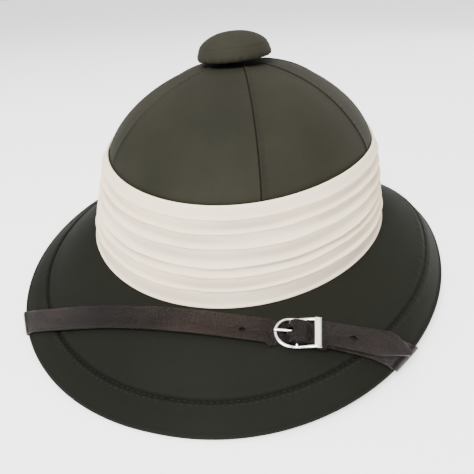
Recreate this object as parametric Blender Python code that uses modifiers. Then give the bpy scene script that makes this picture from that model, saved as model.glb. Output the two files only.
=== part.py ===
"""Safari hat: a six-panel helmet crown with a covered button, a wide brim with a
turned-down border, a pleated puggaree and a leather chin strap that is buckled
over the front of the brim.

Metres, +Z up, the front of the hat faces -Y. The hat stands on the lowest
stretches of its brim edge, at the front and the back. Azimuths are in degrees
from the front, positive towards +X.
"""

import bmesh
import bpy
import numpy as np
from mathutils import Matrix, Vector
from mathutils.bvhtree import BVHTree

MM = 0.001
FIT_GAP = 0.3 * MM

# Brim outline
BRIM_LENGTH = 351.4 * MM
BRIM_WIDTH = 303.0 * MM
BRIM_WIDEST_BACK = 7.4 * MM
BRIM_ROUNDNESS = 2.1
BRIM_SIDE_LIFT = 11.6 * MM
REST_HALF_ANGLE = 6.0
BRIM_COLUMNS = 72

# Brim section
BRIM_WALL = 3.0 * MM
EDGE_THICKNESS = 3.4 * MM
EDGE_ROUND = 1.2 * MM
REST_STRIP = 2.2 * MM
COLLAR_FRONT_Z = 27.2 * MM
COLLAR_SIDE_Z = 36.2 * MM
COLLAR_BACK_Z = 36.0 * MM
COLLAR_MARGIN = 0.8 * MM
SLOPE_BULGE = 1.2 * MM
SLOPE_SHARES = (0.33, 0.67)
BORDER_WIDTH = 16.0 * MM
BORDER_BULGE = 0.7 * MM
BORDER_ANGLE_FRONT = 15.0
BORDER_ANGLE_SIDE = 35.0
BORDER_ANGLE_SKEW = 10.0
GROOVE_WIDTH = 2.6 * MM
GROOVE_DEPTH = 1.0 * MM

# Crown
CROWN_WALL = 3.0 * MM
CROWN_FOOT_LENGTH = 223.0 * MM
CROWN_FOOT_WIDTH = 210.4 * MM
CROWN_FOOT_BACK = -3.5 * MM
CROWN_FOOT_RISE = 3.0 * MM
SHOULDER_LENGTH = 208.0 * MM
SHOULDER_WIDTH = 183.4 * MM
SHOULDER_BACK = 6.0 * MM
SHOULDER_RIGHT = 2.9 * MM
SHOULDER_FRONT_Z = 84.6 * MM
SHOULDER_SIDE_Z = 94.3 * MM
SHOULDER_BACK_Z = 101.0 * MM
CROWN_TOP_Z = 142.4 * MM
CROWN_TOP_BACK = 7.0 * MM
CROWN_TOP_RIGHT = 3.4 * MM
DOME_POWER = 1.36
DOME_ROWS = 9
LAND_RADIUS = 15.5 * MM
SEAM_RIDGE_HEIGHT = 0.8 * MM
SEAM_RIDGE_WIDTH = 4.0 * MM
CROWN_SEAMS = (
    # seam, azimuth
    ("front", 21.3),
    ("right_front", 73.6),
    ("right_back", 133.0),
    ("back", 192.5),
    ("left_back", 252.0),
    ("left_front", 310.5),
)
PANEL_COLUMNS = 6
WALL_SHARES = (0.35, 0.68, 1.0)

# Button
BUTTON_DIAMETER = 52.0 * MM
BUTTON_HEIGHT = 18.4 * MM
BUTTON_FOOT_DIAMETER = 20.0 * MM
BUTTON_UNDERCUT = 1.6 * MM
BUTTON_FOOT_HEIGHT = 1.2 * MM
BUTTON_LEFT = 0.6 * MM
BUTTON_LEAN = 4.0
BUTTON_STEPS = 36
BUTTON_SECTIONS = (
    # radius share, height share above the undercut
    (0.22, 0.98),
    (0.45, 0.90),
    (0.66, 0.775),
    (0.83, 0.60),
    (0.95, 0.38),
    (1.00, 0.10),
    (0.97, 0.02),
    (0.88, 0.00),
)

# Puggaree
PUGGAREE_GAP = 0.35 * MM
PUGGAREE_HEM = 3.35 * MM
PUGGAREE_TOP_EDGE = 1.9 * MM
PLEAT_RIDGE = 3.4 * MM
PLEAT_VALLEY = 1.9 * MM
PLEATS = (
    # ridge height share, valley height share
    (0.88, 0.79),
    (0.745, 0.66),
    (0.60, 0.50),
    (0.425, 0.38),
    (0.33, 0.21),
    (0.19, 0.07),
)

# Chin strap
LEATHER = 1.5 * MM
STRAP_WIDTH = 17.0 * MM
STRAP_CLEARANCE = 1.2 * MM
STRAP_SLANT = 2.0
STRAP_TURN = 5.0
STRAP_SQUEEZED = 12.8 * MM
STRAP_CROWN = 1.0 * MM
STRAP_STEP = 8.0 * MM
ANCHOR_AZIMUTH = 80.0
ANCHOR_MARGIN = 1.5 * MM
TAIL_PAST_EDGE = 3.0 * MM
TAIL_LIFT = 4.5 * MM
TAIL_POINT = 13.0 * MM
TAIL_TIP_WIDTH = 2.0 * MM
HOLE_SPACING = 29.7 * MM
HOLE_DIAMETER = 2.8 * MM
PRONG_HOLE_START = -7.4 * MM
PRONG_HOLE_END = -2.5 * MM
WRAP_STEPS = 6

# Buckle
BUCKLE_RIGHT = 61.0 * MM
BUCKLE_LENGTH = 25.2 * MM
BUCKLE_END_DEPTH = 8.4 * MM
BUCKLE_SIDE_ROOM = 0.6 * MM
BUCKLE_WIRE = 1.8 * MM
WIDE_BAR_WIDTH = 3.8 * MM
WIDE_BAR_THICKNESS = 1.4 * MM
WIDE_BAR_ROUND = 0.4 * MM
CENTRE_BAR_DIAMETER = 2.0 * MM
PRONG_DIAMETER = 1.6 * MM
PRONG_SLOT = 3.0 * MM
STRAP_HUMP = (
    # distance from the centre bar as a share of half the buckle's length, at the
    # strap's middle and at its edges, and share of the rise over the leather fold
    (-0.70, -0.42, 0.00),
    (-0.60, -0.36, 0.04),
    (-0.48, -0.30, 0.30),
    (-0.34, -0.24, 0.68),
    (-0.22, -0.19, 0.94),
    (-0.12, -0.12, 1.00),
    (0.12, 0.12, 1.00),
)
STRAP_FALL = (
    # distance as a share of half the buckle's length, share of the rise that is left
    (0.26, 0.86),
    (0.42, 0.40),
    (0.56, 0.08),
    (0.66, 0.00),
    (0.90, 0.00),
)
FOLD_FALL = (
    # distance and height of the short strap's upper leaf, as above
    (0.14, 0.90),
    (0.34, 0.30),
    (0.50, 0.00),
)
FOLD_END = 0.6

# Finishes: base colour, roughness, metallic
FINISHES = {
    "olive_cloth": ((0.052, 0.053, 0.040), 0.88, 0.0),
    "ivory_cotton": ((0.80, 0.76, 0.68), 0.85, 0.0),
    "brown_leather": ((0.050, 0.034, 0.032), 0.50, 0.0),
    "nickel": ((0.72, 0.72, 0.72), 0.22, 1.0),
}


def clear_scene():
    for item in list(bpy.data.objects):
        bpy.data.objects.remove(item, do_unlink=True)


def collection(name):
    made = bpy.data.collections.new(name)
    bpy.context.scene.collection.children.link(made)
    return made


def finish(name):
    """Return the named Principled BSDF material."""
    found = bpy.data.materials.get(name)
    if found:
        return found
    colour, roughness, metallic = FINISHES[name]
    made = bpy.data.materials.new(name)
    made.use_nodes = True
    shader = made.node_tree.nodes["Principled BSDF"]
    shader.inputs["Base Color"].default_value = (*colour, 1.0)
    shader.inputs["Roughness"].default_value = roughness
    shader.inputs["Metallic"].default_value = metallic
    return made


def egg(azimuth, length, width, back, right=0.0, roundness=2.0):
    """Plan points of an egg-shaped ring about the hat's axis.

    The axis stands BRIM_WIDEST_BACK behind the origin. The ring's middle lies
    `back` behind the axis, so its front half is shorter than its back half, and
    `right` of it.
    """
    turn = np.radians(azimuth)
    side, fore = np.sin(turn), np.cos(turn)
    power = 2.0 / roundness
    reach = np.where(fore > 0, length / 2 - back, length / 2 + back)
    x = width / 2 * np.sign(side) * np.abs(side) ** power + right
    y = BRIM_WIDEST_BACK - reach * np.sign(fore) * np.abs(fore) ** power
    return np.stack([x, y], axis=-1)


def foot_ring(azimuth, offset=0.0):
    """The crown's outer face where it stands on the brim."""
    return egg(azimuth, CROWN_FOOT_LENGTH + 2 * offset, CROWN_FOOT_WIDTH + 2 * offset, CROWN_FOOT_BACK)


def shoulder_ring(azimuth, offset=0.0):
    """The crown's outer face at the puggaree's top edge."""
    length, width = SHOULDER_LENGTH + 2 * offset, SHOULDER_WIDTH + 2 * offset
    return egg(azimuth, length, width, SHOULDER_BACK, SHOULDER_RIGHT)


def edge_ring(azimuth):
    """The brim's outermost line."""
    return egg(azimuth, BRIM_LENGTH, BRIM_WIDTH, -BRIM_WIDEST_BACK, roundness=BRIM_ROUNDNESS)


def saddle(azimuth, front, side, back):
    """Heights of a ring that dips or rises evenly from its sides to its front and back."""
    fore = np.cos(np.radians(azimuth))
    return side + (np.where(fore > 0, front, back) - side) * fore ** 2


def collar_z(azimuth):
    return saddle(azimuth, COLLAR_FRONT_Z, COLLAR_SIDE_Z, COLLAR_BACK_Z)


def shoulder_z(azimuth):
    return saddle(azimuth, SHOULDER_FRONT_Z, SHOULDER_SIDE_Z, SHOULDER_BACK_Z)


def edge_lift(azimuth):
    """Height of the edge's underside: flat where the hat rests, higher at the sides."""
    rest = np.sin(np.radians(REST_HALF_ANGLE)) ** 2
    side = np.sin(np.radians(azimuth)) ** 2
    return BRIM_SIDE_LIFT * np.clip(side - rest, 0.0, None) / (1.0 - rest)


def border_angle(azimuth):
    """How steeply the border turns down: more at the sides, most at the right."""
    side = np.sin(np.radians(azimuth))
    swing = (BORDER_ANGLE_SIDE - BORDER_ANGLE_FRONT) * side ** 2
    return np.radians(BORDER_ANGLE_FRONT + swing + BORDER_ANGLE_SKEW * side)


def mesh_object(name, verts, faces, material, group):
    mesh = bpy.data.meshes.new(name)
    mesh.from_pydata([tuple(point) for point in verts], [], faces)
    mesh.validate()
    mesh.materials.append(finish(material))
    mesh.shade_smooth()
    mesh.set_sharp_from_angle(angle=np.radians(40))
    made = bpy.data.objects.new(name, mesh)
    group.objects.link(made)
    return made


def strip_faces(first, second, falling):
    """Quads between two rings of vertex numbers, facing outwards.

    A quad starts at the corner that gives rising and falling strips the same
    diagonal, so that neighbouring faces keep their gap.
    """
    count = len(first)
    faces = []
    for i in range(count):
        j = (i + 1) % count
        quad = (first[i], first[j], second[j], second[i])
        faces.append(quad[1:] + quad[:1] if falling else quad)
    return faces


def ring_loft(rows, around=False):
    """Join rows of ring points, lowest row first, into vertices and quads.

    With `around` the last row is joined to the first, which closes a section
    carried round the ring.
    """
    count = len(rows[0])
    verts = np.concatenate(rows)
    numbers = [list(range(k * count, (k + 1) * count)) for k in range(len(rows))]
    order = list(range(len(rows))) + ([0] if around else [])
    faces = []
    for here, there in zip(order, order[1:]):
        falling = rows[there][:, 2].mean() < rows[here][:, 2].mean()
        faces += strip_faces(numbers[here], numbers[there], falling)
    return verts, faces, numbers


def crown_columns():
    """Azimuths of the crown's columns, with three at each seam for its ridge."""
    radius = (SHOULDER_LENGTH + SHOULDER_WIDTH) / 4
    half = np.degrees(SEAM_RIDGE_WIDTH / 2 / radius)
    seams = [azimuth for _, azimuth in CROWN_SEAMS]
    azimuths, ridge = [], []
    for here, there in zip(seams, seams[1:] + [seams[0] + 360.0]):
        azimuths += [here]
        ridge += [1.0]
        panel = np.linspace(here + half, there - half, PANEL_COLUMNS)
        azimuths += list(panel)
        ridge += [0.0] * PANEL_COLUMNS
    return np.array(azimuths), np.array(ridge)


def level(plan, z):
    """Lift plan points to height z."""
    return np.column_stack([plan, np.broadcast_to(z, len(plan))])


def dome_row(azimuth, ridge, climb):
    """One ring of the dome, at `climb` radians from the shoulder to the top.

    The shoulder's ring shrinks with the climb's cosine and rises with its sine
    to the power 2 / DOME_POWER, while its centre moves to the top.
    """
    spread = np.cos(climb)
    height = np.sin(climb) ** (2 / DOME_POWER)
    axis = np.array([SHOULDER_RIGHT, BRIM_WIDEST_BACK])
    top = np.array([CROWN_TOP_RIGHT, BRIM_WIDEST_BACK + CROWN_TOP_BACK])
    plan = (shoulder_ring(azimuth) - axis) * spread + axis + (top - axis) * height
    base = shoulder_z(azimuth)
    row = level(plan, base + (CROWN_TOP_Z - base) * height)
    turn = np.radians(azimuth)
    out = np.column_stack([
        np.sin(turn) * np.cos(climb),
        -np.cos(turn) * np.cos(climb),
        np.full(len(turn), np.sin(climb)),
    ])
    return row + out * (SEAM_RIDGE_HEIGHT * ridge)[:, None]


def land_climb():
    """The climb at which the dome is as wide as the flat land under the button."""
    return np.arccos(LAND_RADIUS / ((SHOULDER_LENGTH + SHOULDER_WIDTH) / 4))


def rise_share(azimuth):
    """Share of the wall's height that stands upright at its foot."""
    return CROWN_FOOT_RISE / (shoulder_z(azimuth) - collar_z(azimuth) - FIT_GAP)


def wall_row(azimuth, share, offset=0.0):
    """One ring of the crown's wall, or of a face that stands `offset` off it.

    The wall is upright at its foot and then leans evenly to the shoulder.
    """
    low = collar_z(azimuth) + FIT_GAP
    rise = rise_share(azimuth)
    lean = np.clip((share - rise) / (1.0 - rise), 0.0, 1.0)[:, None]
    plan = foot_ring(azimuth, offset) * (1.0 - lean) + shoulder_ring(azimuth, offset) * lean
    return level(plan, low + (shoulder_z(azimuth) - low) * share)


def build_crown(group):
    """Crown shell: a leaning wall and a dome, open below, with a flat land on top."""
    azimuth, ridge = crown_columns()
    rows = [wall_row(azimuth, 0.0), wall_row(azimuth, rise_share(azimuth))]
    rows += [wall_row(azimuth, share) for share in WALL_SHARES]
    climbs = np.linspace(0.0, land_climb(), DOME_ROWS + 1)[1:]
    for climb in climbs[:-1]:
        rows.append(dome_row(azimuth, ridge, climb))
    land = dome_row(azimuth, np.zeros_like(ridge), climbs[-1])
    land[:, 2] = land[:, 2].mean()
    rows.append(land)
    verts, faces, numbers = ring_loft(rows)
    verts = np.vstack([verts, land.mean(axis=0)])
    apex = len(verts) - 1
    rim = numbers[-1]
    faces += [(rim[i], rim[(i + 1) % len(rim)], apex) for i in range(len(rim))]
    crown = mesh_object("crown", verts, faces, "olive_cloth", group)
    wall = crown.modifiers.new("wall", "SOLIDIFY")
    wall.thickness = CROWN_WALL
    wall.offset = -1.0
    wall.use_even_offset = True
    return land


def build_button(group, land):
    """Covered button: a turned dome on a narrow foot, which leans a little on the crown's land."""
    lean = np.radians(BUTTON_LEAN)
    base = land[:, 2].mean() + FIT_GAP + BUTTON_FOOT_DIAMETER / 2 * np.sin(lean)
    radius = BUTTON_DIAMETER / 2
    rise = BUTTON_HEIGHT - BUTTON_UNDERCUT
    profile = [(0.0, BUTTON_HEIGHT)]
    profile += [(radius * r, BUTTON_UNDERCUT + rise * h) for r, h in BUTTON_SECTIONS]
    profile += [
        (BUTTON_FOOT_DIAMETER / 2, BUTTON_FOOT_HEIGHT),
        (BUTTON_FOOT_DIAMETER / 2, 0.0),
        (0.0, 0.0),
    ]
    mesh = bpy.data.meshes.new("button")
    points = [(r, 0.0, z) for r, z in profile]
    mesh.from_pydata(points, [(i, i + 1) for i in range(len(points) - 1)], [])
    mesh.materials.append(finish("olive_cloth"))
    button = bpy.data.objects.new("button", mesh)
    group.objects.link(button)
    button.location = (
        -BUTTON_LEFT,
        BRIM_WIDEST_BACK + CROWN_TOP_BACK,
        base,
    )
    button.rotation_euler = (0.0, -lean, 0.0)
    turned = button.modifiers.new("turned", "SCREW")
    turned.steps = BUTTON_STEPS
    turned.render_steps = BUTTON_STEPS
    turned.use_merge_vertices = True
    turned.merge_threshold = 0.00001
    turned.use_smooth_shade = True


def offset_profile(points, thickness):
    """Shift a section's polyline down by a thickness, square to the line."""
    run, climb = np.gradient(points, axis=0).T
    down = np.column_stack([climb, -run]) / np.hypot(run, climb)[:, None]
    return points + thickness * down


def brim_section(azimuth):
    """The brim's closed section at one azimuth: distance outwards and height.

    The top face has, from the head opening, the collar under the crown and the
    puggaree, a gently bulged slope, the stitched groove and the turned-down
    border. The underside follows it, and the rest strip is its flat outer end.
    """
    inner = foot_ring(azimuth, -CROWN_WALL)
    width = np.hypot(*(edge_ring(azimuth) - inner))
    angle = border_angle(azimuth)
    lift = edge_lift(azimuth)
    collar = collar_z(azimuth)
    collar_end = CROWN_WALL + PUGGAREE_GAP + PUGGAREE_HEM + COLLAR_MARGIN
    groove = width - EDGE_ROUND - BORDER_WIDTH * np.cos(angle)
    groove_z = lift + EDGE_THICKNESS + BORDER_WIDTH * np.sin(angle)
    half = GROOVE_WIDTH / 2
    top = {"opening": (0.0, collar), "collar_end": (collar_end, collar)}
    for share in SLOPE_SHARES:
        bulge = SLOPE_BULGE * 4 * share * (1 - share)
        top["slope", share] = (
            collar_end + (groove - half - collar_end) * share,
            collar + (groove_z - collar) * share + bulge,
        )
    top["groove_inside"] = (groove - half, groove_z)
    top["groove"] = (groove, groove_z - GROOVE_DEPTH)
    border = (groove + half, groove_z - half * np.tan(angle))
    corner = (width - EDGE_ROUND, lift + EDGE_THICKNESS)
    top["groove_outside"] = border
    top["border"] = ((border[0] + corner[0]) / 2, (border[1] + corner[1]) / 2 + BORDER_BULGE)
    top["corner"] = corner
    under = dict(zip(top, offset_profile(np.array(list(top.values())), BRIM_WALL)))
    section = list(top.values()) + [
        (width, lift + EDGE_THICKNESS / 2),
        (width - EDGE_ROUND, lift),
        (width - EDGE_ROUND - REST_STRIP, lift),
        under["border"],
        under["groove"] + np.array([0.0, GROOVE_DEPTH / 2]),
    ]
    section += [under["slope", share] for share in reversed(SLOPE_SHARES)]
    section += [(collar_end, under["collar_end"][1]), (0.0, under["opening"][1])]
    return width, np.array(section)


def build_brim(group):
    """Brim: a closed section carried round the head opening, unlike at every azimuth."""
    columns = np.linspace(0.0, 360.0, BRIM_COLUMNS, endpoint=False)
    sections = [brim_section(azimuth) for azimuth in columns]
    rows = []
    inner = foot_ring(columns, -CROWN_WALL)
    outer = edge_ring(columns)
    count = len(sections[0][1])
    for k in range(count):
        share = np.array([section[k, 0] / width for width, section in sections])
        z = np.array([section[k, 1] for _, section in sections])
        rows.append(level(inner + (outer - inner) * share[:, None], z))
    verts, faces, _ = ring_loft(rows[::-1], around=True)
    mesh_object("brim", verts, faces, "olive_cloth", group)
    return BVHTree.FromPolygons([tuple(point) for point in verts], faces)


def build_puggaree(group):
    """Puggaree: a cotton band laid in pleats round the crown's wall."""
    azimuth, _ = crown_columns()
    section = [(0.0, PUGGAREE_HEM)]
    for ridge, valley in reversed(PLEATS):
        section += [(valley, PLEAT_VALLEY), (ridge, PLEAT_RIDGE)]
    section += [(1.0, PUGGAREE_TOP_EDGE)]
    section += [(share, 0.0) for share in reversed(WALL_SHARES)]
    section += [(rise_share(azimuth), 0.0), (0.0, 0.0)]
    rows = [wall_row(azimuth, share, PUGGAREE_GAP + thickness) for share, thickness in section]
    verts, faces, _ = ring_loft(rows, around=True)
    mesh_object("puggaree", verts, faces, "ivory_cotton", group)


def brim_face(brim, points, up):
    """Heights of the brim's top (up is 1) or under face (up is -1) at points."""
    heights = []
    for x, y in np.asarray(points)[:, :2]:
        hit = brim.ray_cast(Vector((x, y, up)), Vector((0.0, 0.0, -up)))[0]
        heights.append(hit.z if hit else -up)
    return np.array(heights)


def taut(distance, height):
    """The line that a strap pulled tight over these heights takes: their upper hull."""
    hull = [0]
    for k in range(1, len(distance)):
        while len(hull) > 1:
            a, b = hull[-2], hull[-1]
            climb = (height[b] - height[a]) * (distance[k] - distance[a])
            if climb > (height[k] - height[a]) * (distance[b] - distance[a]):
                break
            hull.pop()
        hull.append(k)
    return np.interp(distance, distance[hull], height[hull])


def directions(slant):
    """Unit vectors along and across a line in plan that is turned backwards by `slant`."""
    turn = np.radians(slant)
    return np.array([np.cos(turn), np.sin(turn)]), np.array([-np.sin(turn), np.cos(turn)])


def strap_track(side=-1):
    """A point of the strap's middle line in plan, and unit vectors along and across it.

    The line passes in front of the puggaree's foot with a clearance, and from
    the buckle's curved end on (side is 1) it is turned backwards.
    """
    along, across = directions(STRAP_SLANT)
    front = foot_ring(0.0, PUGGAREE_GAP + PUGGAREE_HEM)
    middle = front - across * (STRAP_CLEARANCE + STRAP_WIDTH / 2)
    if side < 0:
        return middle, along, across
    left_end = BUCKLE_RIGHT - BUCKLE_LENGTH / 2
    pivot = middle + along * (left_end - middle[0]) / along[0]
    return pivot, *directions(STRAP_SLANT + STRAP_TURN)


def strap_lines():
    """Offsets across the strap of its front edge, middle and back edge."""
    return np.array([-0.5, 0.0, 0.5]) * STRAP_WIDTH


def tight_rows(brim, first, last, up):
    """Rows of a strap pulled tight over the brim (up is 1) or under it (up is -1)."""
    length = np.linalg.norm(last[1] - first[1])
    stations = np.linspace(0.0, 1.0, max(3, int(round(length / STRAP_STEP)) + 1))
    share = np.linspace(0.0, 1.0, 80)
    lines = []
    for start, end in zip(first, last):
        line = start + (end - start) * share[:, None]
        reach = up * brim_face(brim, line[1:-1], up) + FIT_GAP
        height = np.concatenate([[up * start[2]], reach, [up * end[2]]])
        line[:, 2] = up * taut(share, height)
        lines.append(np.column_stack([np.interp(stations, share, line[:, i]) for i in range(3)]))
    rows = np.stack(lines, axis=1)
    return list(press_clear(brim, rows, up))


def press_clear(brim, rows, up):
    """Push rows off the brim until each cell between them clears it by the gap."""
    shares = np.linspace(0.0, 1.0, 5)
    u, v = np.meshgrid(shares, shares)
    weights = np.stack([(1 - u) * (1 - v), (1 - u) * v, u * (1 - v), u * v], axis=-1).reshape(-1, 4)
    for _ in range(3):
        push = np.zeros(rows.shape[:2])
        for k in range(len(rows) - 1):
            for j in range(rows.shape[1] - 1):
                points = weights @ rows[k:k + 2, j:j + 2].reshape(4, 3)
                short = up * (brim_face(brim, points, up) - points[:, 2]) + FIT_GAP
                cell = push[k:k + 2, j:j + 2]
                np.maximum(cell, short.max(), out=cell)
        rows[1:-1, :, 2] += up * push[1:-1]
    return rows


def edge_crossing(side):
    """Where the strap's middle line crosses the brim edge's upper corner.

    Returns the plan point, unit vectors outwards and backwards along the edge,
    and a function that gives the edge's lift at a distance along it.
    """
    azimuth = side * np.linspace(1.0, 89.0, 1761)
    inner = foot_ring(azimuth, -CROWN_WALL)
    outer = edge_ring(azimuth)
    width = np.linalg.norm(outer - inner, axis=1)[:, None]
    corner = outer + (inner - outer) * EDGE_ROUND / width
    tangents = np.gradient(corner, axis=0)
    tangents /= np.linalg.norm(tangents, axis=1)[:, None]
    middle, _, across = strap_track(side)
    k = np.argmin(np.abs((corner - middle) @ across))
    backwards = tangents[k]
    out = np.array([backwards[1], -backwards[0]]) * side
    distance = (corner - corner[k]) @ backwards
    lift = edge_lift(azimuth)
    return corner[k], out, backwards, lambda b: np.interp(b, distance, lift)


def wrapped_run(brim, side):
    """Strap rows from the end sewn under the brim at the temple, round the brim's edge.

    The strap comes round the edge as a flat band does that is folded over it, and
    runs straight to the temple, where it is cut square beside the head opening.
    """
    point, out, backwards, lift = edge_crossing(side)
    _, along, across = strap_track(side)
    onward = side * along
    drift = (onward @ backwards) / (onward @ out)
    reach_out = EDGE_ROUND + FIT_GAP
    reach_up = EDGE_THICKNESS / 2 + FIT_GAP
    bend = (reach_out + reach_up) / 2
    start = strap_lines() / (backwards @ across)
    edge_rows = []
    for turn in np.linspace(0.0, np.pi, WRAP_STEPS + 1):
        b = start + bend * turn * drift
        plan = point + backwards * b[:, None] + out * reach_out * np.sin(turn)
        edge_rows.append(level(plan, lift(b) + EDGE_THICKNESS / 2 + reach_up * np.cos(turn)))
    begin = edge_rows[-1]
    beside = STRAP_WIDTH / 2 + ANCHOR_MARGIN - CROWN_WALL
    anchor = foot_ring(side * ANCHOR_AZIMUTH, beside)
    way = anchor - begin[1, :2]
    way /= np.linalg.norm(way)
    square = np.array([way[1], -way[0]])
    square *= np.sign((begin[2] - begin[0])[:2] @ square)
    end = anchor + square * strap_lines()[:, None]
    end = level(end, brim_face(brim, end, -1) - FIT_GAP)
    return tight_rows(brim, end, begin, -1)[:-1] + edge_rows[::-1]


def buckle_seat(brim):
    """The plane just over the brim that the buckle lies on.

    Returns its origin under the centre bar, and unit vectors along and across
    the strap and off the brim.
    """
    middle, along, across = strap_track(1)
    half = BUCKLE_LENGTH / 2 + BUCKLE_WIRE
    centre = middle + along * (BUCKLE_RIGHT - middle[0]) / along[0]
    stations = np.linspace(-half, half, 9)
    lines = strap_lines()
    plan = centre + along * stations[:, None, None] + across * lines[:, None]
    plan = plan.reshape(-1, 2)
    points = level(plan, brim_face(brim, plan, 1))
    grid = points.reshape(len(stations), len(lines), 3)
    ahead = grid[-1].mean(axis=0) - grid[0].mean(axis=0)
    ahead /= np.linalg.norm(ahead)
    aside = grid[:, -1].mean(axis=0) - grid[:, 0].mean(axis=0)
    aside -= ahead * (ahead @ aside)
    aside /= np.linalg.norm(aside)
    normal = np.cross(ahead, aside)
    origin = points.mean(axis=0)
    origin += normal * ((points - origin) @ normal).max()
    return origin, ahead, aside, normal


def seat_point(seat, distance, offset, height):
    origin, ahead, aside, normal = seat
    return origin + ahead * distance + aside * offset + normal * height


def seat_row(seat, distance, height, edge_distance=None, squeezed=True, crown=0.0):
    """One row of strap points over the buckle's seat.

    Its edges may lie further on, and it is squeezed between the buckle's sides
    unless it lies outside them, which raises its middle by the crown.
    """
    edge = distance if edge_distance is None else edge_distance
    lines = strap_lines() * (STRAP_SQUEEZED / STRAP_WIDTH if squeezed else 1.0)
    heights = (height, height + crown, height)
    return np.array([seat_point(seat, *place) for place in zip((edge, distance, edge), lines, heights)])


def row_normals(rows):
    """Unit normals of a strap's rows, off the brim."""
    rows = np.array(rows)
    ahead = np.gradient(rows, axis=0)
    aside = np.gradient(rows, axis=1)
    normal = np.cross(ahead, aside)
    return normal / np.linalg.norm(normal, axis=2)[:, :, None]


def ribbon(name, rows, group):
    """A leather strap whose inner face runs through rows of points."""
    count = len(rows[0])
    faces = []
    for k in range(len(rows) - 1):
        for j in range(count - 1):
            a = k * count + j
            faces.append((a, a + count, a + count + 1, a + 1))
    strap = mesh_object(name, np.concatenate(rows), faces, "brown_leather", group)
    wall = strap.modifiers.new("leather", "SOLIDIFY")
    wall.thickness = LEATHER
    wall.offset = 1.0
    wall.use_even_offset = True
    return strap


def layer_heights():
    """Heights over the buckle's seat of what lies there, from the brim up."""
    layer = LEATHER + FIT_GAP
    bar = FIT_GAP + layer + CENTRE_BAR_DIAMETER / 2
    fold = CENTRE_BAR_DIAMETER / 2 + FIT_GAP + max(LEATHER, PRONG_DIAMETER)
    return {
        "first": FIT_GAP,
        "second": FIT_GAP + layer,
        "third": FIT_GAP + 2 * layer,
        "centre_bar": bar,
        "over_fold": bar + fold + FIT_GAP,
        "curved_end": FIT_GAP + layer + BUCKLE_WIRE / 2,
        "wide_bar": FIT_GAP + 3 * layer + WIDE_BAR_THICKNESS / 2,
    }


def cutter(name, group, outline, seat, distance, depth):
    """A prism to cut leather with: an outline in the seat's plane, `depth` high."""
    bm = bmesh.new()
    foot = [bm.verts.new(seat_point(seat, distance + x, y, -depth)) for x, y in outline]
    face = bm.faces.new(foot)
    top = bmesh.ops.extrude_face_region(bm, geom=[face])["geom"]
    lift = Vector(seat[3]) * 2 * depth
    bmesh.ops.translate(bm, vec=lift, verts=[v for v in top if isinstance(v, bmesh.types.BMVert)])
    bmesh.ops.recalc_face_normals(bm, faces=bm.faces)
    mesh = bpy.data.meshes.new(name)
    bm.to_mesh(mesh)
    bm.free()
    made = bpy.data.objects.new(name, mesh)
    made.hide_render = True
    made.display_type = "WIRE"
    group.objects.link(made)
    return made


def cut(target, tool):
    hole = target.modifiers.new(tool.name, "BOOLEAN")
    hole.operation = "DIFFERENCE"
    hole.object = tool


def oblong(diameter, length):
    """Outline of a hole with round ends, `length` long over all."""
    turn = np.radians(np.arange(15.0, 375.0, 30.0))
    shift = max(length - diameter, 0.0) / 2 * np.sign(np.cos(turn))
    return list(zip(diameter / 2 * np.cos(turn) + shift, diameter / 2 * np.sin(turn)))


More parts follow.
